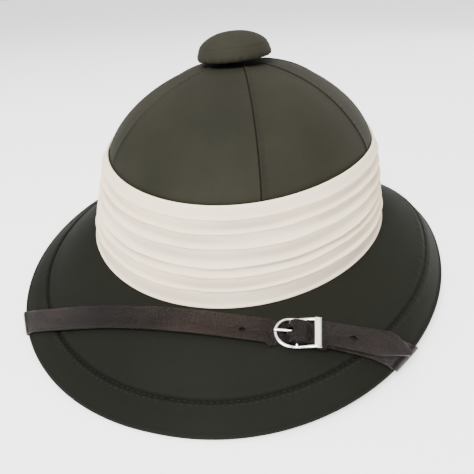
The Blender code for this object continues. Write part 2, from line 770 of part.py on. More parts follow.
def build_straps(brim, seat, group, cutters):
    """The long strap from the left, and the short one from the right that holds the buckle."""
    high = layer_heights()
    half = BUCKLE_LENGTH / 2
    exit_bar = half + BUCKLE_WIRE
    first, third, over = high["first"], high["third"], high["over_fold"]
    hump = [seat_row(seat, -exit_bar, first, squeezed=False)]
    for middle, edge, rise in STRAP_HUMP:
        height = first + rise * (over - first)
        hump.append(seat_row(seat, half * middle, height, half * edge, crown=rise * STRAP_CROWN))
    for distance, rise in STRAP_FALL:
        height = third + rise * (over - third)
        hump.append(seat_row(seat, half * distance, height, crown=rise * STRAP_CROWN))
    hump.append(seat_row(seat, exit_bar, third, squeezed=False))
    left = wrapped_run(brim, -1)
    long_rows = left + tight_rows(brim, left[-1], hump[0], 1)[1:-1] + hump

    right = wrapped_run(brim, 1)
    fold = CENTRE_BAR_DIAMETER / 2 + FIT_GAP
    bar = high["centre_bar"]
    second = high["second"]
    start = seat_row(seat, exit_bar, second, squeezed=False)
    over_brim = tight_rows(brim, start, right[-1], 1)
    loop = [seat_row(seat, half * FOLD_END, bar - fold)]
    for turn in np.radians(np.arange(-90.0, 91.0, 30.0)):
        loop.append(seat_row(seat, -fold * np.cos(turn), bar + fold * np.sin(turn)))
    for distance, rise in FOLD_FALL:
        loop.append(seat_row(seat, half * distance, second + rise * (bar + fold - second)))
    short = ribbon("strap_short", loop + over_brim + right[::-1][1:], group)
    reach = fold + LEATHER + FIT_GAP
    side = PRONG_SLOT / 2
    outline = [(-reach, -side), (reach, -side), (reach, side), (-reach, side)]
    cut(short, cutter("prong_slot", cutters, outline, seat, 0.0, over))

    tail = np.array(over_brim[1:])
    normals = row_normals(over_brim)[1:]
    share = np.linspace(0.0, 1.0, len(tail) + 1)[1:, None, None]
    tail = tail + normals * (LEATHER + FIT_GAP) + normals * TAIL_LIFT * share ** 2
    slope = tail[-1, 1] - tail[-2, 1]
    slope /= np.linalg.norm(slope)
    end = tail[-1]
    last = end[1] + slope * TAIL_PAST_EDGE
    aside = end[2] - end[0]
    aside /= np.linalg.norm(aside)
    point_rows = []
    for share in (1.0, 0.5, 0.0):
        width = TAIL_TIP_WIDTH + (STRAP_WIDTH - TAIL_TIP_WIDTH) * share
        middle = last - slope * TAIL_POINT * share
        point_rows.append(middle + aside * (strap_lines() * width / STRAP_WIDTH)[:, None])
    kept = [row for row in tail if (last - row[1]) @ slope > TAIL_POINT + STRAP_STEP / 4]
    long_rows += kept + point_rows
    long = ribbon("strap_long", long_rows, group)
    middle = (PRONG_HOLE_START + PRONG_HOLE_END) / 2
    outline = oblong(HOLE_DIAMETER, PRONG_HOLE_END - PRONG_HOLE_START)
    cut(long, cutter("prong_hole", cutters, outline, seat, middle, 2 * over))
    outline = oblong(HOLE_DIAMETER, HOLE_DIAMETER)
    for name, distance in (("left_hole", -HOLE_SPACING), ("right_hole", HOLE_SPACING)):
        cut(long, cutter(name, cutters, outline, seat, distance, BUCKLE_LENGTH))


def wire(name, points, diameter):
    """A round wire through points, as a mesh with closed ends."""
    curve = bpy.data.curves.new(name, "CURVE")
    curve.dimensions = "3D"
    curve.bevel_depth = diameter / 2
    curve.bevel_resolution = 2
    curve.use_fill_caps = True
    spline = curve.splines.new("POLY")
    spline.points.add(len(points) - 1)
    for item, point in zip(spline.points, points):
        item.co = (*point, 1.0)
    bent = bpy.data.objects.new(name, curve)
    bpy.context.scene.collection.objects.link(bent)
    bpy.context.view_layer.update()
    mesh = bpy.data.meshes.new_from_object(bent.evaluated_get(bpy.context.evaluated_depsgraph_get()))
    bpy.data.objects.remove(bent)
    bm = bmesh.new()
    bm.from_mesh(mesh)
    bmesh.ops.remove_doubles(bm, verts=bm.verts, dist=0.00001)
    bmesh.ops.recalc_face_normals(bm, faces=bm.faces)
    bm.to_mesh(mesh)
    bm.free()
    mesh.materials.clear()
    mesh.materials.append(finish("nickel"))
    return bpy.data.objects.new(name, mesh)


def build_buckle(seat, group, cutters):
    """Buckle: a bent wire with a curved end, a centre bar and a wide flat bar in one piece."""
    high = layer_heights()
    rail = STRAP_SQUEEZED / 2 + BUCKLE_SIDE_ROOM + BUCKLE_WIRE / 2
    left_end = -(BUCKLE_LENGTH - BUCKLE_WIRE) / 2
    wide_bar = (BUCKLE_LENGTH - WIDE_BAR_WIDTH) / 2
    sides = [(0.0, high["centre_bar"]), (wide_bar / 2, high["wide_bar"] - LEATHER)]
    sides += [(wide_bar, high["wide_bar"])]
    points = [(distance, -rail, height) for distance, height in reversed(sides)]
    for turn in np.radians(np.arange(-90.0, 91.0, 15.0)):
        ahead = left_end + BUCKLE_END_DEPTH * (1 - np.cos(turn))
        points.append((ahead, rail * np.sin(turn), high["curved_end"]))
    points += [(distance, rail, height) for distance, height in sides]
    frame = wire("buckle_frame", [seat_point(seat, *point) for point in points], BUCKLE_WIRE)
    group.objects.link(frame)
    ends = [seat_point(seat, 0.0, offset, high["centre_bar"]) for offset in (-rail, rail)]
    bar = wire("centre_bar", ends, CENTRE_BAR_DIAMETER)
    bpy.ops.mesh.primitive_cube_add(size=1.0)
    plate = bpy.context.object
    plate.name = "wide_bar"
    size = (WIDE_BAR_WIDTH, 2 * rail + BUCKLE_WIRE, WIDE_BAR_THICKNESS, 1.0)
    plate.data.transform(Matrix.Diagonal(size))
    turned = Matrix([list(column) for column in seat[1:]]).transposed().to_4x4()
    turned.translation = Vector(seat_point(seat, wide_bar, 0.0, high["wide_bar"]))
    plate.data.transform(turned)
    rounding = plate.modifiers.new("rounding", "BEVEL")
    rounding.width = WIDE_BAR_ROUND
    rounding.segments = 2
    plate.users_collection[0].objects.unlink(plate)
    for piece in (bar, plate):
        piece.hide_render = True
        piece.display_type = "WIRE"
        cutters.objects.link(piece)
        joined = frame.modifiers.new(piece.name, "BOOLEAN")
        joined.operation = "UNION"
        joined.object = piece
    build_prong(seat, group, left_end, high)


def build_prong(seat, group, tip, high):
    """Prong: hooked round the centre bar, through the strap's hole, over the curved end."""
    radius = (CENTRE_BAR_DIAMETER + PRONG_DIAMETER) / 2 + FIT_GAP
    rest = high["curved_end"] + (BUCKLE_WIRE + PRONG_DIAMETER) / 2 + FIT_GAP
    points = [(tip - BUCKLE_WIRE / 3, 0.0, rest), (tip + BUCKLE_WIRE, 0.0, rest)]
    points += [(PRONG_HOLE_END, 0.0, high["centre_bar"] + radius)]
    for turn in np.radians(np.arange(90.0, -136.0, -25.0)):
        points.append((radius * np.cos(turn), 0.0, high["centre_bar"] + radius * np.sin(turn)))
    prong = wire("buckle_prong", [seat_point(seat, *point) for point in points], PRONG_DIAMETER)
    group.objects.link(prong)


clear_scene()
HAT = collection("safari_hat")
CUTTERS = collection("cutters")
BRIM = build_brim(HAT)
LAND = build_crown(HAT)
build_button(HAT, LAND)
build_puggaree(HAT)
SEAT = buckle_seat(BRIM)
build_straps(BRIM, SEAT, HAT, CUTTERS)
build_buckle(SEAT, HAT, CUTTERS)
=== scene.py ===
"""Looks of the safari hat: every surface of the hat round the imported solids."""

import bmesh
import bpy
import numpy as np
from mathutils import Matrix, Vector
from mathutils.bvhtree import BVHTree


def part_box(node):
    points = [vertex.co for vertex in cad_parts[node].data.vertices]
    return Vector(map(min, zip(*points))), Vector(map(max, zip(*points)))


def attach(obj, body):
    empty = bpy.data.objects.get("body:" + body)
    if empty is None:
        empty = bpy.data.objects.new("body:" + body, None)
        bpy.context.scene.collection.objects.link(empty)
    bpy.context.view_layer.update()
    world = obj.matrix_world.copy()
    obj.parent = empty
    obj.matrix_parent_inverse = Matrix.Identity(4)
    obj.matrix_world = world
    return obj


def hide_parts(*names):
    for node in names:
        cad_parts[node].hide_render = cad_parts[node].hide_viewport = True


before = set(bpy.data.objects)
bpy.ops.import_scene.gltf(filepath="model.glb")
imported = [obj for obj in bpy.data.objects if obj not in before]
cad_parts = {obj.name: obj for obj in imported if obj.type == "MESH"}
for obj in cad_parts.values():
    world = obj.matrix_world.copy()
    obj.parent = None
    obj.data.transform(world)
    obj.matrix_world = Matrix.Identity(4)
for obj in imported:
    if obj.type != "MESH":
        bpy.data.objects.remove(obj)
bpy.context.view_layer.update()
MM = 0.001


# The floor is a seamless white sheet that the hat stands on, in an even pale
# room. A soft box above the camera lights the crown's front, a wider one the
# crown's top and the floor, and a weak one behind the hat its outline.

FLOOR_REACH = 14.0
FLOOR_COLOUR = (0.93, 0.93, 0.925)
FLOOR_ROUGHNESS = 0.9
FLOOR_GLOSS = 0.1
FLOOR_GLOW = 1.0
ROOM_STRENGTH = 0.72
SOFT_BOXES = (
    # name, place, size, power in watts
    ("front_key", (-0.16, -1.15, 1.45), (0.9, 0.9), 86.0),
    ("overhead", (-0.2, 0.3, 1.8), (1.6, 1.6), 22.0),
    ("back_light", (0.8, 1.2, 0.7), (1.0, 0.8), 6.0),
)
HAT_MIDDLE = (0.0, 0.0, 0.06)
CAMERA_PLACE = (0.0768, -0.2913, 0.1884)
CAMERA_AZIMUTH = 15.0
CAMERA_ELEVATION = 30.69
CAMERA_ROLL = 2.87
CAMERA_CLIP = (0.01, 60.0)
SENSOR_WIDTH = 36.0
FOCAL_PIXELS = 428.8
PICTURE_PIXELS = 474


def studio_floor():
    """A flat square on z = 0 that reaches FLOOR_REACH each way."""
    reach = FLOOR_REACH
    corners = [(-reach, -reach, 0.0), (reach, -reach, 0.0), (reach, reach, 0.0), (-reach, reach, 0.0)]
    mesh = bpy.data.meshes.new("studio_floor")
    mesh.from_pydata(corners, [], [(0, 1, 2, 3)])
    paper = bpy.data.materials.new("pale_floor")
    paper.use_nodes = True
    shader = paper.node_tree.nodes["Principled BSDF"]
    shader.inputs["Base Color"].default_value = (*FLOOR_COLOUR, 1.0)
    shader.inputs["Roughness"].default_value = FLOOR_ROUGHNESS
    shader.inputs["Specular IOR Level"].default_value = FLOOR_GLOSS
    shader.inputs["Emission Color"].default_value = (1.0, 1.0, 1.0, 1.0)
    shader.inputs["Emission Strength"].default_value = FLOOR_GLOW
    mesh.materials.append(paper)
    floor = bpy.data.objects.new("studio_floor", mesh)
    bpy.context.scene.collection.objects.link(floor)


def soft_box(name, place, size, power):
    """An area light at `place` that faces the hat."""
    data = bpy.data.lights.new(name, "AREA")
    data.shape = "RECTANGLE"
    data.size, data.size_y = size
    data.energy = power
    lamp = bpy.data.objects.new(name, data)
    lamp.location = place
    way = Vector(HAT_MIDDLE) - Vector(place)
    lamp.rotation_euler = way.to_track_quat("-Z", "Y").to_euler()
    bpy.context.scene.collection.objects.link(lamp)


def photo_camera():
    """The camera at the photograph's place, its axes turned by the roll about the view.

    Its back axis points to the azimuth and elevation that it looks from, and its
    right axis is level before the roll.
    """
    data = bpy.data.cameras.new("photo_camera")
    data.sensor_width = SENSOR_WIDTH
    data.lens = SENSOR_WIDTH * FOCAL_PIXELS / PICTURE_PIXELS
    data.clip_start, data.clip_end = CAMERA_CLIP
    azimuth, elevation, turn = np.radians((CAMERA_AZIMUTH, CAMERA_ELEVATION, CAMERA_ROLL))
    flat = np.cos(elevation)
    right = np.array([np.cos(azimuth), np.sin(azimuth), 0.0])
    back = np.array([np.sin(azimuth) * flat, -np.cos(azimuth) * flat, np.sin(elevation)])
    up = np.cross(back, right)
    across = np.cos(turn) * right - np.sin(turn) * up
    upward = np.sin(turn) * right + np.cos(turn) * up
    axes = Matrix([list(axis) for axis in (across, upward, back)]).transposed().to_4x4()
    axes.translation = Vector(CAMERA_PLACE)
    camera = bpy.data.objects.new("photo_camera", data)
    camera.matrix_world = axes
    bpy.context.scene.collection.objects.link(camera)
    bpy.context.scene.camera = camera


def room_light(strength):
    """An even white surround."""
    room = bpy.data.worlds.new("room")
    room.use_nodes = True
    surround = room.node_tree.nodes["Background"]
    surround.inputs["Color"].default_value = (1.0, 1.0, 1.0, 1.0)
    surround.inputs["Strength"].default_value = strength
    bpy.context.scene.world = room


studio_floor()
photo_camera()
room_light(ROOM_STRENGTH)
for box in SOFT_BOXES:
    soft_box(*box)


# The brim is a stiff sheet covered with olive cloth on both faces. A groove is
# stitched through it round the rim, outside which the border turns down, and
# the hat stands on the front and back stretches of its edge.

BRIM_LOW, BRIM_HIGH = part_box("brim")
BRIM_LENGTH = BRIM_HIGH[1] - BRIM_LOW[1]
BRIM_WIDTH = BRIM_HIGH[0] - BRIM_LOW[0]
AXIS_BACK = 7.4 * MM
BRIM_ROUNDNESS = 2.1
SIDE_LIFT = 11.6 * MM
REST_HALF_ANGLE = 6.0
REST_STRIP = 2.0 * MM
BRIM_WALL = 3.0 * MM
EDGE_THICKNESS = 3.4 * MM
EDGE_CORNER = 1.2 * MM
EDGE_POWER = 6
COLLAR = {"front": 27.2 * MM, "side": 36.2 * MM, "back": 36.0 * MM}
COLLAR_WIDTH = 7.5 * MM
SLOPE_BULGE = 1.2 * MM
BORDER_WIDTH = 16.0 * MM
BORDER_BULGE = 0.7 * MM
BORDER_ANGLES = {"front": 15.0, "side": 35.0, "skew": 10.0}
GROOVE_DEPTH = 0.9 * MM
GROOVE_HALF_WIDTH = 0.8 * MM
PADDING_HEIGHT = 0.25 * MM
PADDING_PLACE = 2.8 * MM
PADDING_HALF_WIDTH = 1.8 * MM
PUCKER_HEIGHTS = (0.09 * MM, 0.06 * MM)
PUCKER_COUNTS = (151, 97)
CROWN_WALL = 3.0 * MM
FOOT = {"length": 223.0 * MM, "width": 210.4 * MM, "back": -3.5 * MM}
# The brim's two olive colours are painted darker than the crown's copy of the same cloth: painted shade.
BRIM_SHADED_GREEN = (0.0046, 0.0054, 0.0034)
BRIM_SHADED_BROWN = (0.0078, 0.0084, 0.0052)
THREAD_DARK = (0.0070, 0.0070, 0.0050)
THREAD_LIGHT = (0.0190, 0.0185, 0.0130)
THREAD_FIBRES = 2500.0
STITCH = {"length": 2.5 * MM, "pitch": 3.4 * MM, "radius": 0.22 * MM, "bow": 1.6, "sunk": 0.9}
BRIM_STEP = 0.5
GROOVE_STEP = 0.4
BRIM_ROWS = {"collar": 3, "slope": 25, "border": 27, "edge": 11}
SLOPE_CROWDING = 1.8
BORDER_CROWDING = 1.7


def egg(azimuth, length, width, back, right=0.0, roundness=2.0):
    """Plan points of an egg-shaped ring about the hat's axis.

    x is half the width times sin(azimuth) to the power 2 / roundness; y is the
    front or back reach times cos(azimuth) to the same power, forwards of the axis.
    """
    turn = np.radians(azimuth)
    side, fore = np.sin(turn), np.cos(turn)
    power = 2.0 / roundness
    reach = np.where(fore > 0, length / 2 - back, length / 2 + back)
    x = width / 2 * np.sign(side) * np.abs(side) ** power + right
    y = AXIS_BACK - reach * np.sign(fore) * np.abs(fore) ** power
    return np.stack([x, y], axis=-1)


def foot_ring(azimuth, offset=0.0):
    """The crown's outer face at the brim, moved out by `offset`."""
    grown = 2 * np.asarray(offset)
    return egg(azimuth, FOOT["length"] + grown, FOOT["width"] + grown, FOOT["back"])


def edge_ring(azimuth):
    """The brim's outermost line."""
    return egg(azimuth, BRIM_LENGTH, BRIM_WIDTH, -AXIS_BACK, roundness=BRIM_ROUNDNESS)


def saddle(azimuth, heights):
    """Heights that go from the sides to the front and back with cos(azimuth) squared."""
    fore = np.cos(np.radians(azimuth))
    ends = np.where(fore > 0, heights["front"], heights["back"])
    return heights["side"] + (ends - heights["side"]) * fore ** 2


def edge_lift(azimuth):
    """Height of the edge's underside: none at the front and back, most at the sides."""
    rest = np.sin(np.radians(REST_HALF_ANGLE)) ** 2
    side = np.sin(np.radians(azimuth)) ** 2
    return SIDE_LIFT * np.clip(side - rest, 0.0, None) / (1.0 - rest)


def border_angle(azimuth):
    """Slope of the turned-down border in radians, steeper at the sides."""
    side = np.sin(np.radians(azimuth))
    swing = (BORDER_ANGLES["side"] - BORDER_ANGLES["front"]) * side ** 2
    return np.radians(BORDER_ANGLES["front"] + swing + BORDER_ANGLES["skew"] * side)


def bell(distance, half_width):
    """A bell curve of height one."""
    return np.exp(-(distance / half_width) ** 2)


def arch(share):
    """A parabola that is 0 at shares 0 and 1 and 1 halfway."""
    return 4 * share * (1 - share)


def brim_lines(azimuth):
    """The section's lines at each azimuth, as distances from the head opening and heights.

    The groove lies in from the edge, and higher than it, by the border's width
    times the cosine and the sine of the border's slope.
    """
    inner = foot_ring(azimuth, -CROWN_WALL)
    outer = edge_ring(azimuth)
    width = np.linalg.norm(outer - inner, axis=-1)
    angle = border_angle(azimuth)
    lift = edge_lift(azimuth)
    return {
        "inner": inner,
        "outer": outer,
        "width": width,
        "angle": angle,
        "lift": lift,
        "collar": saddle(azimuth, COLLAR),
        "edge": width - EDGE_THICKNESS / 2,
        "groove": width - EDGE_CORNER - BORDER_WIDTH * np.cos(angle),
        "groove_z": lift + EDGE_THICKNESS + BORDER_WIDTH * np.sin(angle),
    }


def brim_height(azimuth, distance, relief=1.0):
    """Height of the brim's top face.

    A flat collar, a slope and a border follow each other, the last two with a
    parabola's bulge. The groove is a bell curve between two lower bells of
    padding, and sine ripples along the rim die away from it with a wider bell.
    """
    line = brim_lines(azimuth)
    slope = np.clip((distance - COLLAR_WIDTH) / (line["groove"] - COLLAR_WIDTH), 0.0, 1.0)
    border = np.clip((distance - line["groove"]) / (line["edge"] - line["groove"]), 0.0, 1.0)
    edge_top = line["lift"] + EDGE_THICKNESS
    height = line["collar"] + (line["groove_z"] - line["collar"]) * slope + SLOPE_BULGE * arch(slope)
    height = height + (edge_top - line["groove_z"]) * border + BORDER_BULGE * arch(border)
    near = distance - line["groove"]
    turn = np.radians(azimuth)
    pucker = sum(high * np.sin(turn * count + count) for high, count in zip(PUCKER_HEIGHTS, PUCKER_COUNTS))
    padding = sum(bell(near - place, PADDING_HALF_WIDTH) for place in (PADDING_PLACE, -PADDING_PLACE))
    folds = PADDING_HEIGHT * padding - GROOVE_DEPTH * bell(near, GROOVE_HALF_WIDTH)
    folds = folds + pucker * bell(near, 2 * PADDING_PLACE)
    return height + relief * folds


def brim_points(azimuth, distance, height):
    """Points at distances out from the head opening and at heights."""
    line = brim_lines(azimuth)
    share = (distance / line["width"])[..., None]
    plan = line["inner"] + (line["outer"] - line["inner"]) * share
    return np.concatenate([plan, np.broadcast_to(height, plan.shape[:-1])[..., None]], axis=-1)


def brim_grid(azimuth):
    """The brim's closed section at each azimuth, and the painted shade that each point gets from the
    groove.

    The top face runs out to the edge, which is half a circle, and the underside
    follows the top at the wall's thickness down to the strip that it rests on.
    The wall thickens towards the edge by a power of the distance, and by other
    powers the rows crowd towards the groove.
    """
    line = brim_lines(azimuth)
    groove, edge, lift = line["groove"], line["edge"], line["lift"]
    collar = np.linspace(0.0, 1.0, BRIM_ROWS["collar"])[:-1, None] * COLLAR_WIDTH + 0 * groove
    outwards = np.linspace(0.0, 1.0, BRIM_ROWS["slope"])[:-1, None]
    slope = COLLAR_WIDTH + (groove - COLLAR_WIDTH) * (1.0 - (1.0 - outwards) ** SLOPE_CROWDING)
    beyond = np.linspace(0.0, 1.0, BRIM_ROWS["border"])[:, None]
    border = groove + (edge - groove) * beyond ** BORDER_CROWDING
    top = np.concatenate([collar, slope, border])
    turn = np.linspace(0.0, np.pi, BRIM_ROWS["edge"])[1:, None]
    radius = EDGE_THICKNESS / 2
    rim = edge + radius * np.sin(turn)
    rim_z = lift + radius * (1 + np.cos(turn))
    under = np.minimum(top[::-1], edge - REST_STRIP)
    share = under / edge
    wall = BRIM_WALL + (EDGE_THICKNESS - BRIM_WALL) * share ** EDGE_POWER
    lean = np.where(under > groove, np.cos(line["angle"]), 1.0)
    under_z = np.maximum(brim_height(azimuth, under, 0.5) - wall / lean, lift)
    distance = np.concatenate([top, rim, under])
    height = np.concatenate([brim_height(azimuth, top), rim_z, under_z])
    # A bell curve about the groove gives its painted shade.
    return brim_points(azimuth, distance, height), bell(distance - groove, GROOVE_HALF_WIDTH)


def grid_arrays(grids, around_rows, around_columns):
    """Quads of grids of points [grid, rows, columns, 3], and their corners' UVs in metres.

    A UV is how far its corner lies along the row and down the column, by the
    mean steps between columns and between rows. A face joins each row to the
    next, so it faces outwards where rows run outwards or down while columns run
    anticlockwise seen from above.
    """
    count, rows, columns = grids.shape[:3]
    numbers = np.arange(count * rows * columns).reshape(count, rows, columns)
    if around_rows:
        numbers = np.concatenate([numbers, numbers[:, :1]], axis=1)
        grids = np.concatenate([grids, grids[:, :1]], axis=1)
    if around_columns:
        numbers = np.concatenate([numbers, numbers[:, :, :1]], axis=2)
        grids = np.concatenate([grids, grids[:, :, :1]], axis=2)
    along = np.linalg.norm(np.diff(grids, axis=2), axis=3).mean(axis=1, keepdims=True)
    down = np.linalg.norm(np.diff(grids, axis=1), axis=3).mean(axis=2, keepdims=True)
    u = np.concatenate([np.zeros((count, 1, 1)), np.cumsum(along, axis=2)], axis=2)
    v = np.concatenate([np.zeros((count, 1, 1)), np.cumsum(down, axis=1)], axis=1)
    flat = np.stack(np.broadcast_arrays(u, v), axis=-1)
    near, far = slice(None, -1), slice(1, None)
    corners = [(near, near), (far, near), (far, far), (near, far)]
    quads = np.stack([numbers[:, a, b] for a, b in corners], axis=-1).reshape(-1, 4)
    loops = np.stack([flat[:, a, b] for a, b in corners], axis=-2).reshape(-1, 2)
    return quads, loops


def grid_mesh(name, *blocks, around_rows=False, around_columns=True):
    """A mesh of one or more grids of points, whose open ends are closed, with UVs in metres."""
    verts, quads, loops = [], [], []
    base = 0
    for block in blocks:
        grids = block if block.ndim == 4 else block[None]
        faces, flat = grid_arrays(grids, around_rows, around_columns)
        verts.append(grids.reshape(-1, 3))
        quads.append(faces + base)
        loops.append(flat)
        base += len(verts[-1])
    mesh = bpy.data.meshes.new(name)
    mesh.from_pydata(np.concatenate(verts).tolist(), [], np.concatenate(quads).tolist())
    layer = mesh.uv_layers.new(name="thread")
    layer.data.foreach_set("uv", np.concatenate(loops).reshape(-1).astype(np.float32))
    return mesh


def crease_shaded(mesh, depth):
    """Store the painted shade of folds at each point, from 0 to 1, which darkens the cloth's colour."""
    layer = mesh.attributes.new("crease", "FLOAT", "POINT")
    layer.data.foreach_set("value", np.clip(depth, 0.0, 1.0).reshape(-1).astype(np.float32))
    return mesh


def sealed(mesh):
    """Close the small rings at a mesh's poles and ends."""
    made = bmesh.new()
    made.from_mesh(mesh)
    rims = [edge for edge in made.edges if edge.is_boundary]
    bmesh.ops.holes_fill(made, edges=rims, sides=0)
    made.to_mesh(mesh)
    made.free()
    return mesh


def place_piece(mesh, material, slot, *nodes):
    """Put a finished mesh in the scene as a piece of the hat."""
    mesh.shade_smooth()
    mesh.materials.clear()
    mesh.materials.append(material)
    piece = bpy.data.objects.new(mesh.name, mesh)
    bpy.context.scene.collection.objects.link(piece)
    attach(piece, "root")
    if nodes:
        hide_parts(*nodes)
    return piece


def stitch_grids(path, normals):
    """Stitches along a line: capsules bowed off the cloth, their ends sunk in it.

    Each is a hexagon carried from one hole to the next. It rises off the cloth
    with a sine, and its radius goes with the square root of a sine.
    """
    steps = np.linalg.norm(np.diff(path, axis=0), axis=1)
    travel = np.concatenate([[0.0], np.cumsum(steps)])
    starts = np.arange(STITCH["pitch"] / 2, travel[-1] - STITCH["pitch"], STITCH["pitch"])
    share = np.linspace(0.0, 1.0, 6)
    places = starts[:, None] + STITCH["length"] * share
    spine = np.stack([np.interp(places, travel, path[:, i]) for i in range(3)], axis=-1)
    out = np.stack([np.interp(places, travel, normals[:, i]) for i in range(3)], axis=-1)
    out /= np.linalg.norm(out, axis=-1, keepdims=True)
    along = spine[:, -1:] - spine[:, :1]
    along /= np.linalg.norm(along, axis=-1, keepdims=True)
    aside = np.cross(along, out)
    lift = STITCH["radius"] * (STITCH["bow"] * np.sin(np.pi * share) - STITCH["sunk"])
    spine = spine + out * lift[None, :, None]
    radius = STITCH["radius"] * np.sqrt(np.sin(np.pi * (0.06 + 0.88 * share)))
    turn = np.linspace(0.0, 2 * np.pi, 6, endpoint=False)
    ring = np.cos(turn)[:, None] * aside[:, :, None] + np.sin(turn)[:, None] * out[:, :, None]
    return spine[:, :, None] + radius[None, :, None, None] * ring


class Strand:
    """A socket of a finish's node tree that takes part in arithmetic."""

    def __init__(self, finish, socket):
        self.finish = finish
        self.socket = socket

    def maths(self, operation, *values):
        """Add a Math node that works on these strands or numbers."""
        return self.finish.node("ShaderNodeMath", {"operation": operation}, dict(enumerate(values)))

    def __add__(self, other):
        return self.maths("ADD", self, other)

    __radd__ = __add__

    def __sub__(self, other):
        return self.maths("SUBTRACT", self, other)

    def __rsub__(self, other):
        return self.maths("SUBTRACT", other, self)

    def __mul__(self, other):
        return self.maths("MULTIPLY", self, other)

    __rmul__ = __mul__

    def sine(self):
        return self.maths("SINE", self)

    def size(self):
        return self.maths("ABSOLUTE", self)

    def clipped(self):
        """The value kept between 0 and 1."""
        return self.maths("MAXIMUM", self.maths("MINIMUM", self, 1.0), 0.0)


class Finish:
    """A material that is being made, with constants on its shader's own sockets."""

    def __init__(self, name, constants):
        self.material = bpy.data.materials.new(name)
        self.material.use_nodes = True
        self.tree = self.material.node_tree
        self.shader = self.tree.nodes["Principled BSDF"]
        for socket, value in constants.items():
            self.shader.inputs[socket].default_value = value

    def node(self, kind, settings=None, inputs=None, output=0):
        """Add a node: its settings first, then the values or links of its sockets."""
        made = self.tree.nodes.new(kind)
        for name, value in (settings or {}).items():
            if name == "stops":
                self.set_stops(made.color_ramp, value)
            else:
                setattr(made, name, value)
        for key, value in (inputs or {}).items():
            self.feed(made.inputs[key], value)
        return Strand(self, made.outputs[output])

    def set_stops(self, ramp, stops):
        """Give a colour ramp its stops, as (position, grey level)."""
        while len(ramp.elements) < len(stops):
            ramp.elements.new(0.5)
        for element, (position, level) in zip(ramp.elements, stops):
            element.position = position
            element.color = (level, level, level, 1.0)

    def feed(self, socket, value):
        """Link a strand to a socket, or set the socket's own value."""
        if isinstance(value, Strand):
            self.tree.links.new(value.socket, socket)
        elif isinstance(value, tuple) and socket.type == "RGBA":
            socket.default_value = (*value[:3], 1.0)
        else:
            socket.default_value = value

    def drive(self, socket, value):
        """Feed one of the shader's sockets."""
        self.feed(self.shader.inputs[socket], value)

    def coordinates(self, output):
        """Object coordinates (3) or the piece's own UV map in metres (2), as a vector."""
        return self.node("ShaderNodeTexCoord", output=output)

    def noise(self, vector, scale, detail=2.0, roughness=0.5):
        """Soft noise from 0 to 1, with `scale` cells in a metre."""
        inputs = {"Vector": vector, "Scale": scale, "Detail": detail, "Roughness": roughness}
        return self.node("ShaderNodeTexNoise", inputs=inputs)

    def stretched(self, vector, scale, turn=0.0):
        """A vector scaled along each axis, then turned about z by `turn` radians."""
        inputs = {"Vector": vector, "Rotation": (0.0, 0.0, turn), "Scale": scale}
        return self.node("ShaderNodeMapping", inputs=inputs)

    def ramp(self, value, *stops):
        """Grey levels that run straight from stop to stop."""
        return self.node("ShaderNodeValToRGB", {"stops": stops}, {"Fac": value})

    def mix(self, factor, first, second, blend="MIX"):
        """The first colour, turned into its blend with the second as far as the factor says."""
        settings = {"data_type": "RGBA", "blend_type": blend}
        return self.node("ShaderNodeMix", settings, {0: factor, 6: first, 7: second}, output=2)

    def bumped(self, height, distance):
        """Feed a height in shares of `distance` to the shader's normal."""
        inputs = {"Height": height, "Distance": distance}
        self.drive("Normal", self.node("ShaderNodeBump", inputs=inputs))


CLOTH_NOISE = {
    # cells in a metre: slubs are drawn out along the weft, ladders along the warp
    "wander": 45.0,
    "slubs": 800.0,
    "ladders": 500.0,
    "patches": 22.0,
    "broad": 7.0,
    "fuzz": 1500.0,
}
# Grey that darkens the cloth between its threads: painted shade.
THREAD_GAP_SHADE = (0.45, 0.45, 0.45)


